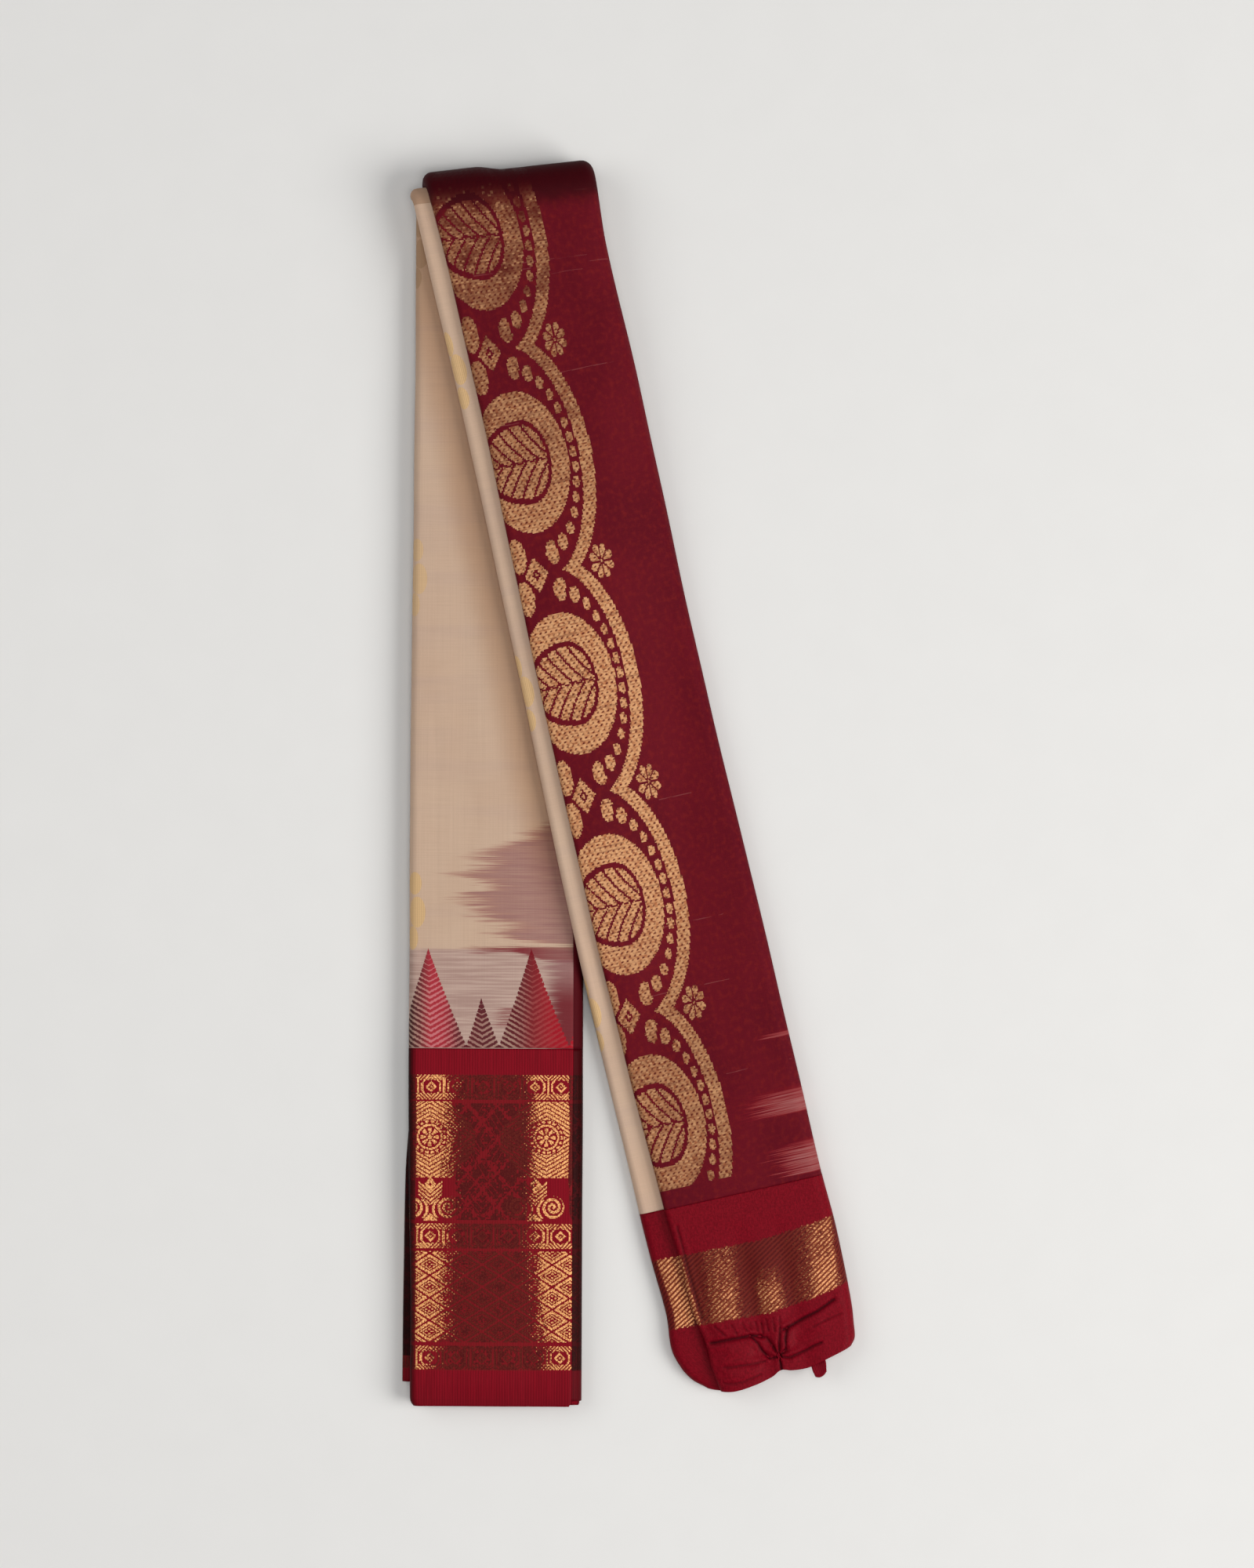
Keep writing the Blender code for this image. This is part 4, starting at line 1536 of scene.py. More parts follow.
@dataclass(frozen=True)
class WideBorderFinish:
    """Red silk with bands of zari: plain ribs, geometric bands, wheels and a diamond lattice."""

    red: Colour = srgb(129, 11, 27)
    red_dark: Colour = srgb(105, 7, 20)
    zari: ZariWeave = ZariWeave()
    rib: float = 1.25
    geometric_bands: tuple[float, ...] = (153, 81.6, 23.3)
    geometric_half: float = 5.9
    wheel_period: float = 55.9
    wheel_across: float = 23.8
    wheel_along: float = 129.0
    main_band: Pair = (88.5, 145.9)
    lattice_band: Pair = (30.8, 74.2)
    lattice_half: Pair = (8.4, 5.35)
    unit: float = 12.45
    outer_zari: Pair = (23.5, 96.0)
    lit_left: Points = ((0, -31.5), (26, -31.5), (34, -26.5), (72, -24), (146, -23.8), (160, -22))
    lit_right: Points = (
        (0, 26), (26, 26), (34, 22.5), (72, 18.6), (100, 18.4), (146, 17.8),
        (160, 15),
    )

    def material(self) -> Material:
        """Weaves the finish."""
        nodes = Nodes("wide_border_silk", roughness=0.5)
        across, along = nodes.across, nodes.along
        pitch = self.zari.pitch
        column, row = (across / pitch).floor(), (along / pitch).floor()
        x, y = across.snap(pitch), along.snap(pitch)
        geometric, geometric_ground = self.geometric(x, y)
        lattice, lattice_ground = self.lattice(x, y)
        figures = either(geometric, lattice, self.wheels(x, y))
        lit = self.lit(nodes)
        gold, shines = self.zari.thread(nodes, lit, column, row, figures)
        ground = either(geometric_ground, lattice_ground, self.ground(x, y)) & (lit < 0.3)
        bare = nodes.speckle((row / 2).floor() + 5, (column / 2).floor())
        ground = ground & (bare > 0.12 + self.net(across, along).rise(0.6, 1) * 0.6)
        figured = figures | ground
        bumps = (across * (TURN / self.rib)).cosine()
        yarns = nodes.grain(1.4, 0.05, detail=3)
        plain = 1 - along.between(17.2, 159)
        ribs = (bumps * 0.14 + yarns - 0.5).rise(-0.2, 0.2)
        silk = nodes.mix((1 - ribs) * (0.45 + plain * 0.3), self.red, self.red_dark)
        silk = nodes.mix(along.between(0, 3.2) * 0.3, silk, self.red_dark)
        # Painted shade: where the gold is not painted as lit, the red ground in the figured bands is tinted
        # towards the gold's dull brown.
        silk = nodes.mix((1 - plain) * (1 - lit) * 0.3, silk, self.zari.dull_pale)
        colour = nodes.mix(figured, silk, gold)
        # Painted shade: darker past 37.6 mm to either side, where the cloth turns down round its edges;
        # painted light: lighter again further round the right edge. The colour is also darker towards the
        # lower end.
        edge = (abs(across) - 37.6).rise(0, 5)
        wrap_painted_light = (across - 45).rise(0, 9) * 0.16
        low = (17.2 - along).rise(0, 17) * 0.12
        outer_left = (across < -42) * (along < self.outer_zari[0])
        edge = edge * (1 - outer_left * 0.8) * (1 - (across > 41) * (along < 17.2) * 0.3)
        colour = nodes.shade(colour, (1 - low) * (1 - edge * 0.84 + wrap_painted_light))
        glints = (-across).between(43.6, 45.8) & along.between(*self.outer_zari)
        glints = glints * (nodes.speckle((column * 0.5).floor(), row) > 0.42)
        colour = nodes.mix(glints * 0.75, colour, self.zari.lit)
        bright = figured * shines
        height = ribs * 0.4 + figured * 0.5
        fed = {"Roughness": 0.52 - bright * 0.12, "Metallic": bright * 0.3}
        return nodes.finish(colour, height, 0.12 * MM, **fed)

    def lit(self, nodes: Nodes) -> Number:
        """How much of the gold is painted as catching the light: both sides of the strip, less lower down.

        Args:
            nodes: The material's nodes.

        Returns:
            0 to 1.
        """
        across, along = nodes.across, nodes.along
        slow = (nodes.grain(0.12, 0.05) - 0.5) * 9
        left = (nodes.profile(along, self.lit_left) - across + slow).rise(-12, 8)
        right = (across - nodes.profile(along, self.lit_right) + slow * 0.7).rise(-10, 6.5)
        narrower = (along - 84).rise(0, 10) * 3 + slow * 0.25
        past = (across - 36.9 + narrower) | (-37.9 - across)
        return (left | right) & (1 - past.rise(0, 1.6))

    def geometric(self, x: Number, y: Number) -> tuple[Number, Number]:
        """Narrow bands of hexagons round a small eye, between upright bars.

        Args:
            x: Across.
            y: Along.

        Returns:
            1 where gold shows, and 1 where dull gold fills the ground.
        """
        gold, ground = [], []
        side = abs((x + 31.5).cell(self.unit))
        for middle in self.geometric_bands:
            up = abs(y - middle)
            far = side + up
            eye = (far < 0.6) | far.between(1.4, 2.7)
            frame_line = (side + (up - 1.8).at_least(0) * 0.9).between(3.9, 4.8)
            bars = (side > 5.7) & (up < 4.6)
            hatch = (up > 3.1) & ((far / 1.75).fraction() > 0.48)
            in_band = up < self.geometric_half
            gold.append(either(eye, frame_line, bars, hatch) & in_band)
            filled = ((far < 2.6) | (far > 3.2)) & ((side < 5) | (side > 5.5))
            ground.append(filled & in_band)
        return either(*gold), either(*ground)

    def net(self, x: Number, y: Number) -> Number:
        """Near 1 along the slanting lines of a net, less between them."""
        first, second = self.slants((x + 6.7) / 7, (y - 112) / 8)
        return first | second

    def slants(self, x: Number, y: Number) -> tuple[Number, Number]:
        """How far a place is from the middle of its diamond, on both slants, 1 at the edge."""
        return abs((x + y).cell(2)), abs((x - y).cell(2))

    def ground(self, x: Number, y: Number) -> Number:
        """The dull zari between the wheels, but for the red lines of a net and two lozenges.

        Args:
            x: Across.
            y: Along.

        Returns:
            1 where the dull zari shows.
        """
        net = self.net(x, y) < 0.95
        heart = abs(x + 6.7) / 10.5 + abs(y - 101) / 12.5
        nested = ((heart * 3.6).fraction() < 0.8) | (heart > 1)
        tear = abs(x + 5) / 12.5 + abs(y - 128) / 20
        veined = ((tear * 4.2).fraction() < 0.85) | (tear > 1)
        bare = (abs(abs(x + 6.7) - 6.2) + abs(y - 114.5) * 0.8) < 1.5
        low, high = self.main_band
        return (net & nested & veined & y.between(low + 0.6, high - 0.6)) * (1 - bare)

    def wheels(self, x: Number, y: Number) -> Number:
        """The main band: spoked wheels among feather scales, with chevrons and coils below.

        Args:
            x: Across.
            y: Along.

        Returns:
            1 where gold shows.
        """
        side, up = abs((x - self.wheel_across).cell(self.wheel_period)), y - self.wheel_along
        far, turn = distance(side, up), up.angle(side)
        spokes = ((turn * 8).cosine() > -0.3) & far.between(1.6, 4.4)
        wheel = either(far < 1.1, spokes, far.between(5.2, 6.2))
        beads = ((turn * 18).cosine() > -0.4) & far.between(6.8, 7.9)
        barbs = ((abs(up) + side * 0.6) / 1.98).fraction() > 0.34
        arch = side / 26 + abs(y - 127.5) / 30
        feathers = barbs & (far > 8.4) & (arch < 1) & (side < 22) & (y > 109.5)
        wheel = wheel | beads
        low_side = abs((x + 31.7).cell(50.3))
        drop = y - 106.4
        lozenge = low_side / 2.9 + abs(drop) / 3.4
        lozenge = (lozenge < 1) & (lozenge > 0.3)
        arms = y - low_side * 0.86
        chevrons = ((arms / 2).fraction() < 0.56) & arms.between(96.4, 103.6) & (low_side < 5.8)
        stem_y = y - 94.4
        stems = abs(low_side - 1.4 - stem_y * stem_y * 0.12) < 0.6
        stems = stems & (abs(stem_y) < 4.4)
        base = (low_side < 92.6 - y) & (y > 88.9)
        coil_x, coil_y = low_side - 8.5, y - 95.6
        coil_far, coil_turn = distance(coil_x, coil_y), coil_y.angle(coil_x) / TURN
        coil = ((coil_far / 2.4 - coil_turn).fraction() < 0.56) & (coil_far < 5.4)
        zari = either(wheel, feathers, lozenge, chevrons, stems, base, coil)
        return zari & y.between(*self.main_band)

    def lattice(self, x: Number, y: Number) -> tuple[Number, Number]:
        """A lattice of diamonds, each outlined twice round four dots.

        Args:
            x: Across.
            y: Along.

        Returns:
            1 where gold shows, and 1 where dull gold fills the ground.
        """
        half_x, half_y = self.lattice_half
        first, second = self.slants((x + 31.8) / half_x, (y - 68) / half_y)
        out = first | second
        outline = out.between(0.64, 0.9) | out.between(0.4, 0.52)
        dots = first.between(0.08, 0.27) & second.between(0.08, 0.27)
        in_band = y.between(*self.lattice_band)
        return (outline | dots) & in_band, (out < 0.92) & (1 - out.between(0.54, 0.6)) & in_band


@dataclass(frozen=True)
class NarrowBorderFinish:
    """Red silk twill with one broad band of gold twill, and a plain selvedge below it."""

    right_start: float
    red: Colour = srgb(126, 10, 26)
    red_dark: Colour = srgb(101, 4, 18)
    fold_shadow_colour: Colour = srgb(30, 0, 4)
    zari: ZariWeave = ZariWeave(
        lit=srgb(206, 130, 80), lit_pale=srgb(236, 172, 120), dots=0.1, unevenness=0.5, softness=0.7
    )
    twill: float = 2.1
    roll_middle: float = -46.05
    band_top: Points = ((-46, 513.2), (-20, 513.4), (10, 514), (34, 511.8), (46, 510.2))
    band_low: Points = ((-46, 547), (-14, 548.2), (4, 549.2), (26, 547), (46, 543))
    lit_points: Points = (
        (-46, 0), (-42.4, 0), (-41, 0.8), (-36, 1), (-33, 0.8), (-30.5, 0.3),
        (-28, 0.1), (-23, 0.2), (-18.5, 0.48), (-8.5, 0.56), (-4, 0.2), (1, 0.1),
        (5.5, 0.32), (12, 0.34), (16, 0.14), (22, 0.18), (28, 0.38), (33, 0.68),
        (41, 0.74), (44, 0.3), (45.5, 0.12), (46, 0.1),
    )

    def material(self) -> Material:
        """Weaves the finish."""
        nodes = Nodes("narrow_border_silk", roughness=0.5)
        across, along = nodes.across, nodes.along
        across = across | (2 * self.roll_middle - across)
        run = along - self.right_start
        pitch = self.zari.pitch
        column, row = (across / pitch).floor(), (along / pitch).floor()
        slow = nodes.noise(across * 0.2, along * 0.08) - 0.5
        leaned = across + (run - 530) * 0.12 + slow * 4
        # Painted light: how much of the gold twill is painted as lit, by place across, more lower down, with
        # a lit line along the flap's turned edge; the gaps between the twill lines follow it.
        lit = nodes.profile((across < -32) * (across - leaned) + leaned, self.lit_points)
        lower = (run - 531).rise(-10, 10)
        middle = 1 - (abs(across - 8.5) - 5).rise(0, 3)
        lit = lit * (0.85 + lower * 0.3) + middle * (lower - 0.45) * 0.45
        painted_edge_light = 1 - abs(across + 31 - (run - 514) * 0.07).rise(1.1, 2.2)
        lit = lit | (painted_edge_light * 0.66)
        gold, shines = self.zari.thread(nodes, lit, column, row)
        twill = ((across * 0.62 + along) / self.twill).fraction()
        top, low = nodes.profile(across, self.band_top), nodes.profile(across, self.band_low)
        ragged = (nodes.speckle(column, 3) - 0.5) * 1.1
        in_band = (run + ragged).between(top, low)
        figured = in_band * (1 - abs(twill - 0.4).rise(0.17, 0.34))
        yarns = nodes.noise(across * 0.9, along * 1.1, detail=3)
        fine = nodes.noise(across * 2.2, along * 0.35)
        silk = nodes.mix((yarns * 0.5 + fine * 0.5).rise(0.35, 0.66), self.red_dark, self.red)
        between = nodes.mix(lit * 0.4, self.zari.dull_pale, self.zari.lit_low)
        silk = nodes.mix(in_band * 0.8, silk, between)
        colour = nodes.mix(figured, silk, gold)
        # Painted shade at the bottom of the folds.
        colour = nodes.folded(colour, self.fold_shadow_colour)
        bright = figured * shines
        height = figured * 0.6 + yarns * 0.3 + (twill * 2 - 1) * 0.1
        fed = {"Roughness": 0.5 - bright * 0.1, "Metallic": bright * 0.3}
        return nodes.finish(colour, height, 0.12 * MM, **fed)


@dataclass(frozen=True)
class LayersFinish:
    """The selvedges of the hidden layers: red silk, each layer a little its own."""

    red: Colour = srgb(136, 12, 30)
    red_dark: Colour = srgb(92, 6, 18)

    def material(self) -> Material:
        """Weaves the finish."""
        nodes = Nodes("hidden_layers", roughness=0.6)
        grain = nodes.grain(1.6, 0.3, detail=3)
        colour = nodes.mix(grain.rise(0.3, 0.7), self.red_dark, self.red)
        return nodes.finish(colour, grain, 0.1 * MM)


@dataclass(frozen=True)
class ThreadFinish:
    """Dark red sewing thread, with its twist."""

    red: Colour = srgb(84, 4, 16)
    red_light: Colour = srgb(134, 12, 30)
    twist: float = 0.8

    def material(self) -> Material:
        """Weaves the finish."""
        nodes = Nodes("tie_thread", roughness=0.45)
        across, along = nodes.across, nodes.along
        ply = ((across + along) / self.twist).fraction().rise(0.1, 0.6)
        colour = nodes.mix(ply, self.red, self.red_light)
        return nodes.finish(colour, ply, 0.08 * MM)


@dataclass(frozen=True)
class CottonBody:
    """The cream cotton stretches: on top of the left leg, and as the right leg's roll."""

    strip: FoldedStrip
    creases: tuple[Crease, ...] = (
        Crease((-29, 232), (-30.5, 330), -0.16, 0.9),
        Crease((12, 210), (4, 420), 0.22, 7),
        Crease((-14, 260), (-20, 470), -0.20, 6),
        Crease((24, 180), (27, 262), -0.18, 4),
        Crease((-33, 350), (-6, 366), 0.12, 3.2),
    )
    roll_creases: tuple[Crease, ...] = (
        Crease((-44, 640), (-38, 760), 0.3, 3),
        Crease((-38, 720), (-46, 900), -0.28, 2.6),
        Crease((-47, 860), (-42, 1010), 0.3, 3.4),
        Crease((-41, 960), (-47, 1080), -0.24, 2.4),
    )

    def build(self) -> list[Object]:
        """Builds and dresses both stretches."""
        strip = self.strip
        material = CottonFinish(strip.border / MM, strip.right_start / MM).material()
        left = Stretch(
            "body_left_cloth", "body_cotton", Section(strip, Face.COTTON, 58),
            strip.border, strip.seam, 1.5 * MM, Relief(self.creases, 0.10, 0.4),
        )
        roll = Stretch(
            "body_roll_cloth", "body_cotton", Section(strip, Face.COTTON, 26, overlap=0.0, proud=0.0),
            strip.seam, strip.narrow_border, 1.6 * MM, Relief(self.roll_creases, 0.05, 1.3), GAP_BEFORE,
        )
        return [left.build(material), roll.build(material)]


@dataclass(frozen=True)
class Pallu:
    """The maroon pallu: over the fold and on the right leg, and on the left leg's underside."""

    strip: FoldedStrip
    creases: tuple[Crease, ...] = (
        Crease((-52, 590.8), (-6, 590.8), 2.2, 8), Crease((-30, 606), (36, 628), 0.30, 5),
        Crease((41, 612), (20, 700), -0.28, 5), Crease((34, 690), (39, 850), 0.32, 6),
        Crease((8, 720), (-4, 900), -0.20, 8), Crease((28, 820), (14, 960), -0.22, 6.5),
        Crease((-28, 900), (38, 934), 0.18, 6),
        Crease((36, 960), (10, 1075), 0.30, 6),
        Crease((-20, 1010), (-16, 1090), -0.24, 4.5),
    )
    under_creases: tuple[Crease, ...] = (
        Crease((44, 210), (49, 330), 0.20, 2.4), Crease((48, 330), (43, 470), -0.20, 2.2),
    )

    def build(self) -> list[Object]:
        """Builds and dresses both stretches."""
        strip = self.strip
        material = PalluFinish(strip.right_start / MM).material()
        over = Stretch(
            "pallu_cloth", "pallu_silk", Section(strip, Face.PALLU, 58),
            strip.seam, strip.narrow_border, 1.6 * MM, Relief(self.creases, 0.12, 2.1), GAP_BEFORE,
        )
        under = Stretch(
            "pallu_under_cloth", "pallu_silk", Section(strip, Face.PALLU, 34),
            strip.border, strip.seam, 2.0 * MM, Relief(self.under_creases, 0.06, 0.9), rests_on=(),
        )
        return [over.build(material), under.build(material)]


@dataclass(frozen=True)
class WideBorder:
    """The wide border at the left leg's lower end, on the inner and the outer cloth."""

    strip: FoldedStrip
    skew: float = 8.4 * MM
    creases: tuple[Crease, ...] = (
        Crease((-12, 4), (-9, 60), 0.22, 6), Crease((16, 2), (20, 88), -0.22, 6),
        Crease((30, 60), (27, 168), 0.18, 5), Crease((-30, 70), (-26, 165), -0.16, 5),
    )

    def build(self) -> list[Object]:
        """Builds and dresses both stretches."""
        strip = self.strip
        material = WideBorderFinish().material()
        inner = Stretch(
            "wide_border_cloth", "wide_border_silk", Section(strip, Face.COTTON, 62),
            0.0, strip.border, 1.2 * MM, Relief(self.creases, 0.10, 0.8), GAP_AFTER,
        )
        outer = Stretch(
            "wide_border_outer_cloth", "wide_border_silk", Section(strip, Face.PALLU, 40),
            strip.outer_border_start, strip.border, 1.5 * MM, Relief((), 0.05, 1.9), GAP_AFTER,
            rests_on=(), skew=self.skew,
        )
        return [inner.build(material), outer.build(material)]


@dataclass(frozen=True)
class NarrowBorder:
    """The narrow border at the right leg's lower end, with its flap, folds and gathers."""

    strip: FoldedStrip

    def folds(self) -> tuple[Union[Crease, Fold], ...]:
        """The pinched folds that run to the tie, the slit below it and soft swells between."""
        tie = (5.8, 571.6)
        folds = (
            (0.85, 0.75, 0.30, 0.85,
             ((-25.6, 556.6), (-18, 556.4), (-9, 556.9), (-5.2, 557), (0.2, 558.8))),
            (0.80, 0.60, 0.22, 0.80, ((-5.8, 556.6), (-2.9, 560.8), (-1.4, 565.3), (1.5, 569.9), tie)),
            (0.65, 0.55, 0.20, 0.65, ((-2.2, 558.1), (1.9, 560), (4, 565.5), tie)),
            (0.70, 0.55, 0.20, 0.75, ((9.5, 556.3), (7.4, 564.3), tie)),
            (0.85, 0.65, 0.25, 0.85, ((12.8, 557.2), (10.4, 563.2), (10.1, 567.6), tie)),
            (0.90, 0.75, 0.30, 0.90,
             ((10.2, 558.4), (14.6, 557.1), (21.5, 554.9), (28.3, 553.4), (38.8, 549))),
            (0.80, 0.60, 0.20, 0.80, (tie, (10.7, 571.8), (16, 570.3), (22.2, 569.1), (27.6, 569.2))),
            (1.00, 0.60, 0.15, 0.95, (tie, (5.7, 575.4), (5.2, 580.5))),
            (0.45, 0.60, 0.12, 0.50, ((-21.9, 566.9), (-13.9, 567.6), (-5.1, 569.1), (-0.6, 569.8))),
            (0.30, 0.35, 0.15, 0.45, ((-4.6, 551.4), (-4.4, 555))),
            (0.30, 0.35, 0.15, 0.40, ((-1.8, 551.2), (-1.4, 556.6))),
            (0.35, 0.35, 0.15, 0.45, ((0.8, 551.8), (0.9, 558.4))),
            (0.30, 0.35, 0.15, 0.40, ((3.6, 550.9), (3.4, 558))),
            (0.35, 0.35, 0.15, 0.45, ((7.1, 550.8), (6.2, 559.6))),
            (0.35, 0.35, 0.15, 0.45, ((10.3, 551.2), (9.2, 558.4))),
            (0.35, 0.45, 0.20, 0.45, ((-22, 548.9), (-16.5, 555.4))),
            (0.30, 0.45, 0.20, 0.40, ((-13.6, 549.9), (-11.2, 555.8))),
            (0.30, 0.45, 0.20, 0.40, ((-8.4, 550.2), (-6, 555.4))),
            (0.35, 0.50, 0.10, 0.45, ((-24, 573.8), (-14, 574.6), (-3, 574.2))),
            (0.30, 0.50, 0.10, 0.40, ((24, 560.5), (33, 558.6), (40, 557.8))),
            (0.35, 0.60, 0.15, 0.55, ((-28.4, 496), (-27.4, 520), (-25.8, 548))),
        )
        start = self.strip.right_start / MM
        placed = [
            Fold(tuple((x, start + y) for x, y in line), depth, half, swell, dark)
            for depth, half, swell, dark, line in folds
        ]
        swells = (
            (-18, 561, -6, 563, 0.55, 2.6), (17, 563.5, 30, 559, 0.55, 3.4),
            (-20, 571, -4, 572, 0.3, 1.6), (-10, 500, 30, 505, 0.2, 4),
            (-16, 520, -14, 545, 0.35, 3.6), (7, 524, 8, 545, 0.35, 3.2),
            (28, 518, 33, 544, 0.35, 4.5),
        )
        for x0, y0, x1, y1, height, half in swells:
            placed.append(Crease((x0, start + y0), (x1, start + y1), height, half))
        return tuple(placed)

    def build(self) -> list[Object]:
        """Builds and dresses both stretches."""
        strip = self.strip
        material = NarrowBorderFinish(strip.right_start / MM).material()
        pallu = Stretch(
            "narrow_border_pallu_cloth", "narrow_border_silk", Section(strip, Face.PALLU, 140),
            strip.narrow_border, strip.end, 0.55 * MM, Relief(self.folds(), 0.08, 0.2), GAP_BEFORE,
            with_pieces=("tie_stitch_thread", "selvedge_tab_cloth"),
        )
        roll = Stretch(
            "narrow_border_roll_cloth", "narrow_border_silk",
            Section(strip, Face.COTTON, 30, overlap=0.0, proud=0.0),
            strip.narrow_border, strip.end, 1.2 * MM, Relief((), 0.05, 0.6), GAP_BEFORE,
        )
        return [pallu.build(material), roll.build(material)]


@dataclass(frozen=True)
class HiddenLayers:
    """The ends of the hidden layers: thin leaves, set back unevenly, with rounded folds."""

    strip: FoldedStrip
    leaf: float = 0.30 * MM
    pitch: float = 0.42 * MM
    margin: float = 1.0 * MM
    reach: float = 24.0 * MM
    flat_width: float = 0.084
    columns: int = 46
    rows: int = 6
    seed: int = 11

    def levels(self) -> list[float]:
        """The depths of the leaves' outer faces."""
        strip = self.strip
        end = strip.outer_bundle - self.margin - self.leaf
        low = np.arange(self.margin + 0.1 * MM, end, self.pitch)
        first = strip.outer_bundle + strip.seam_gap + self.margin
        high = np.arange(first, strip.thickness - self.margin - self.leaf, self.pitch)
        return [*low, *high]

    def bounds_at(self, along: Grid, deep: float) -> tuple[Grid, Grid]:
        """The left and right ends of a leaf.

        Args:
            along: Places along the strip.
            deep: The leaf's depth.

        Returns:
            Across at its left end and at its right end.
        """
        strip = self.strip
        roll, crease, right = strip.edges.at(along)
        half = strip.thickness / 2
        rise_right = min(1.0, abs(deep - half) / (half - self.margin))
        bulge = (strip.right_round - self.margin) * math.sqrt(1 - rise_right**2)
        end = right - strip.right_round + bulge
        if deep < strip.outer_bundle:
            return crease + strip.outer_bundle / 2, end
        low = strip.outer_bundle + strip.seam_gap
        half = (strip.thickness - low) / 2
        rise_left = min(1.0, abs(deep - low - half) / (half - self.margin))
        bulge = (strip.roll_round - self.margin) * math.sqrt(1 - rise_left**2)
        return roll + strip.roll_round - bulge, end

    def leaf_grids(self, deep: float, at_start: bool, draw: np.random.Generator) -> tuple[Grid, ...]:
        """The grids of one leaf at one end of the strip.

        Args:
            deep: The leaf's depth.
            at_start: Whether it is at the left leg's end.
            draw: The random draws for its unevenness.

        Returns:
            Outer points, inner points, across and along in millimetres.
        """
        strip = self.strip
        set_back = (0.6 + 1.9 * draw.random()) * MM
        if at_start and deep < strip.outer_bundle:
            set_back += strip.outer_border_start
        phases = draw.random(3) * TURN
        part = np.linspace(0, 1, self.rows)[:, None]
        spread = np.linspace(0, 1, self.columns)[None, :]
        ripple = 0.35 * np.sin(spread * 9 + phases[0]) + 0.25 * np.sin(spread * 23 + phases[1])
        edge = set_back + ripple * MM
        run = edge + part * (self.reach - edge)
        along = run if at_start else strip.end - run
        left, right = self.bounds_at(along[:, :1], deep)
        inset = 0.5 * MM * draw.random()
        across = left + inset + (right - left - inset) * spread
        wave = 0.05 * MM * np.sin(spread * 14 + phases[2]) * np.ones_like(along)
        outer = strip.place(across, along, deep + wave)
        inner = strip.place(across, along, deep + wave + self.leaf)
        return outer, inner, across / MM, along / MM

    def build(self) -> list[Object]:
        """Builds the leaves at both ends as one piece and dresses it."""
        draw = np.random.default_rng(self.seed)
        leaves = []
        for at_start in (True, False):
            for deep in self.levels():
                grids = self.leaf_grids(deep, at_start, draw)
                leaves.append(shell(f"leaf_{len(leaves)}", *grids))
        thing = leaves[0]
        with bpy.context.temp_override(active_object=thing, selected_editable_objects=leaves):
            bpy.ops.object.join()
        thing.name = "hidden_layers_cloth"
        dress(thing, LayersFinish().material())
        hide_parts("hidden_layers")
        return [thing]


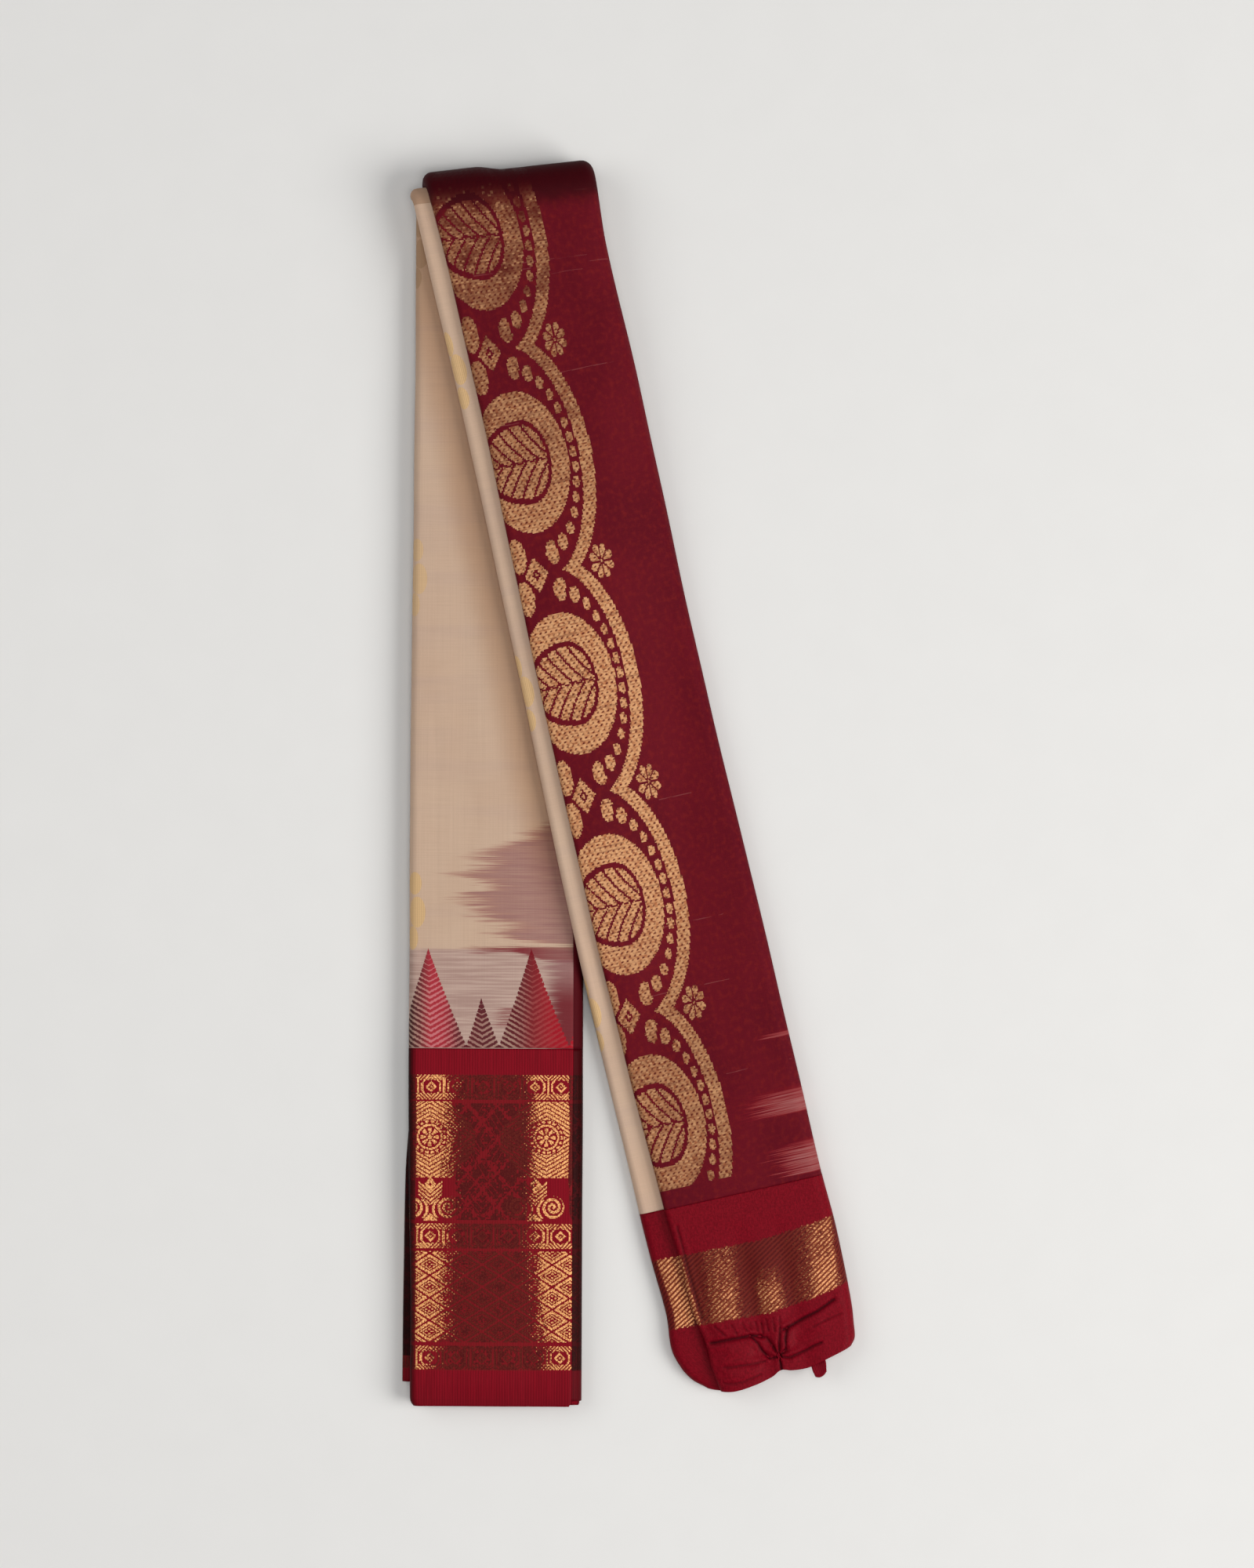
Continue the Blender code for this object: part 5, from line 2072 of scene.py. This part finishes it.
@dataclass(frozen=True)
class TieAndTab:
    """The stitches that tie the gathered selvedge, and the small loop of selvedge below."""

    strip: FoldedStrip
    thread: float = 0.28 * MM
    stitches: Rows = (
        (-0.55, -0.5, 14), (0.1, 0.1, -9), (0.6, 0.4, 22), (-0.2, 0.8, -24),
    )
    half_length: float = 2.0 * MM
    tab_across: float = 23.6 * MM
    tab_width: float = 7.0 * MM
    tab_length: float = 6.0 * MM

    def tube(self, points: Grid, radius: float, sides: int = 8) -> tuple[Grid, Grid]:
        """A round thread along points.

        Args:
            points: Its centreline.
            radius: Its radius.
            sides: Its sides.

        Returns:
            Its points and its faces, which end in a pinched tip.
        """
        forward = unit(np.gradient(points, axis=0))
        side = unit(np.cross(forward, (0.0, 0.0, 1.0)))
        up = np.cross(side, forward)
        turn = np.linspace(0, TURN, sides, endpoint=False)
        size = radius * np.sqrt(np.clip(1 - np.linspace(-1, 1, len(points)) ** 8, 0.02, 1))
        cosine, sine = np.cos(turn)[None, :, None], np.sin(turn)[None, :, None]
        ring = side[:, None] * cosine + up[:, None] * sine
        mesh = points[:, None] + ring * size[:, None, None]
        number = np.arange(len(points) * sides).reshape(len(points), sides)
        beside = np.roll(number, -1, axis=1)
        faces = np.stack([number[:-1], number[1:], beside[1:], beside[:-1]], axis=-1).reshape(-1, 4)
        caps = []
        for row, flip in ((number[0], False), (number[-1], True)):
            quads = [(row[0], row[k], row[k + 1], row[k + 2]) for k in range(1, sides - 2, 2)]
            caps += [quad[::-1] if flip else quad for quad in quads]
        return mesh.reshape(-1, 3), np.vstack([faces, np.array(caps)])

    def build(self) -> list[Object]:
        """Builds and dresses the stitches and the loop."""
        material = ThreadFinish().material()
        return [self.tie(material), self.tab(material)]

    def tie(self, material: Material) -> Object:
        """The stitches, laid across the gathers.

        Args:
            material: Their finish.

        Returns:
            The stitches as one piece.
        """
        strip = self.strip
        across_tie, along_tie = strip.tie
        points, faces, count = [], [], 0
        for off_across, off_along, angle in self.stitches:
            run = np.linspace(-1, 1, 13)
            lean = math.radians(angle)
            along = along_tie + off_along * MM + run * self.half_length * math.cos(lean)
            across = across_tie + off_across * MM + run * self.half_length * math.sin(lean)
            high = 0.35 * MM + 0.45 * MM * (1 - run**2)
            line = strip.place(across, along, -high)
            mesh, sides = self.tube(line, self.thread)
            points.append(mesh)
            faces.append(sides + count)
            count += len(mesh)
        points = np.vstack(points)
        lengths = np.arange(len(points)) * 0.05
        thing = mesh_object("tie_stitch_thread", points, np.vstack(faces), lengths, lengths)
        dress(thing, material)
        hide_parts("tie_stitch")
        return thing

    def tab(self, material: Material) -> Object:
        """The small loop of selvedge that hangs out below the tie.

        Args:
            material: Its finish.

        Returns:
            The loop.
        """
        strip = self.strip
        turn = np.linspace(0, math.pi, 15)[:, None]
        spread = np.linspace(-1, 1, 11)[None, :]
        parts = (np.linspace(-0.5, 0.86, 8), np.full(15, 0.86), np.linspace(0.86, 0.3, 6))
        reach = self.tab_length * np.concatenate(parts)
        reach[8:23] += self.tab_length * 0.14 * np.sin(turn[:, 0])
        front = np.concatenate([np.full(4, 1.5), np.linspace(1.1, 0.5, 4)])
        deep = np.concatenate([front, 0.5 + 0.55 * (1 - np.cos(turn[:, 0])), np.full(6, 1.6)]) * MM
        narrow = 1 - 0.25 * np.maximum(reach / self.tab_length, 0)[:, None] ** 3
        across = self.tab_across + spread * narrow * self.tab_width / 2
        along = strip.end + strip.seam_gap + reach[:, None] - 1.2 * MM * (spread**2)
        sag = 0.12 * MM * np.cos(spread * 3)
        outer = strip.place(across, along, deep[:, None] + sag)
        out = grid_normals(outer)
        inner = outer - out * 0.45 * MM
        length = np.broadcast_to(np.arange(len(reach))[:, None] * 0.6, across.shape)
        thing = shell("selvedge_tab_cloth", outer, inner, across / MM, length)
        dress(thing, material)
        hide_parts("selvedge_tab")
        return thing


@dataclass(frozen=True)
class Studio:
    """A pale floor, soft lights and a camera straight above."""

    frame_height: float = 0.750
    lens: float = 135.0
    sensor: float = 36.0
    focus_height: float = 0.016
    floor_size: float = 6.0
    floor_colour: Colour = srgb(226, 224, 220)
    sky: Colour = srgb(235, 238, 245)
    sky_strength: float = 0.25

    def build(self) -> list[Object]:
        """Builds the floor, the lights and the camera."""
        things = [self.floor(), self.camera()]
        lamps = (
            ("key", (2.4, -0.7, 2.0), 2.0, 84.0),
            ("fill", (-2.0, 0.6, 2.0), 2.0, 20.0),
            ("top", (0.1, -0.1, 2.2), 0.8, 11.5),
        )
        for name, place, size, power in lamps:
            things.append(self.lamp(name, place, size, power))
        world = bpy.data.worlds.new("studio")
        bpy.context.scene.world = world
        world.use_nodes = True
        background = world.node_tree.nodes["Background"]
        background.inputs["Color"].default_value = self.sky
        background.inputs["Strength"].default_value = self.sky_strength
        bpy.context.scene.view_settings.view_transform = "Standard"
        return things

    def floor(self) -> Object:
        """The pale floor."""
        half = self.floor_size / 2
        x, y = half * np.array([-1, 1, 1, -1]), half * np.array([-1, -1, 1, 1])
        corners = np.stack([x, y, np.full(4, -0.1 * MM)], axis=-1)
        thing = mesh_object("floor", corners, np.array([[0, 1, 2, 3]]), x, y)
        nodes = Nodes("floor", roughness=0.9)
        grain = nodes.grain(40, 40, detail=3.0)
        colour = nodes.shade(self.floor_colour, 0.985 + grain * 0.03)
        thing.data.materials.append(nodes.finish(colour))
        return thing

    def lamp(self, name: str, place: Sequence[float], size: float, power: float) -> Object:
        """A soft square lamp that points at the saree's middle.

        Args:
            name: Its name.
            place: Where it stands.
            size: The length of its sides.
            power: Its power in watts.

        Returns:
            The lamp.
        """
        light = bpy.data.lights.new(name, "AREA")
        light.energy = power
        light.size = size
        thing = bpy.data.objects.new(name, light)
        bpy.context.scene.collection.objects.link(thing)
        thing.location = place
        direction = -thing.location
        thing.rotation_mode = "QUATERNION"
        thing.rotation_quaternion = direction.to_track_quat("-Z", "Y")
        return thing

    def camera(self) -> Object:
        """The camera, straight above the saree."""
        view = bpy.data.cameras.new("camera")
        view.lens = self.lens
        view.sensor_width = self.sensor
        thing = bpy.data.objects.new("camera", view)
        bpy.context.scene.collection.objects.link(thing)
        thing.location = (0.0, 0.0, self.focus_height + self.frame_height * self.lens / self.sensor)
        bpy.context.scene.camera = thing
        return thing


def main() -> None:
    """Builds the saree and the studio."""
    logging.basicConfig(level=logging.INFO, format="%(message)s")
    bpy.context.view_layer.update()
    strip = FoldedStrip()
    kinds = (TieAndTab, CottonBody, Pallu, WideBorder, NarrowBorder, HiddenLayers)
    for assembly in (*(kind(strip) for kind in kinds), Studio()):
        for thing in assembly.build():
            faces = len(thing.data.polygons) if thing.type == "MESH" else 0
            logging.info("%s: %s, %d faces", type(assembly).__name__, thing.name, faces)


if __name__ == "__main__":
    main()
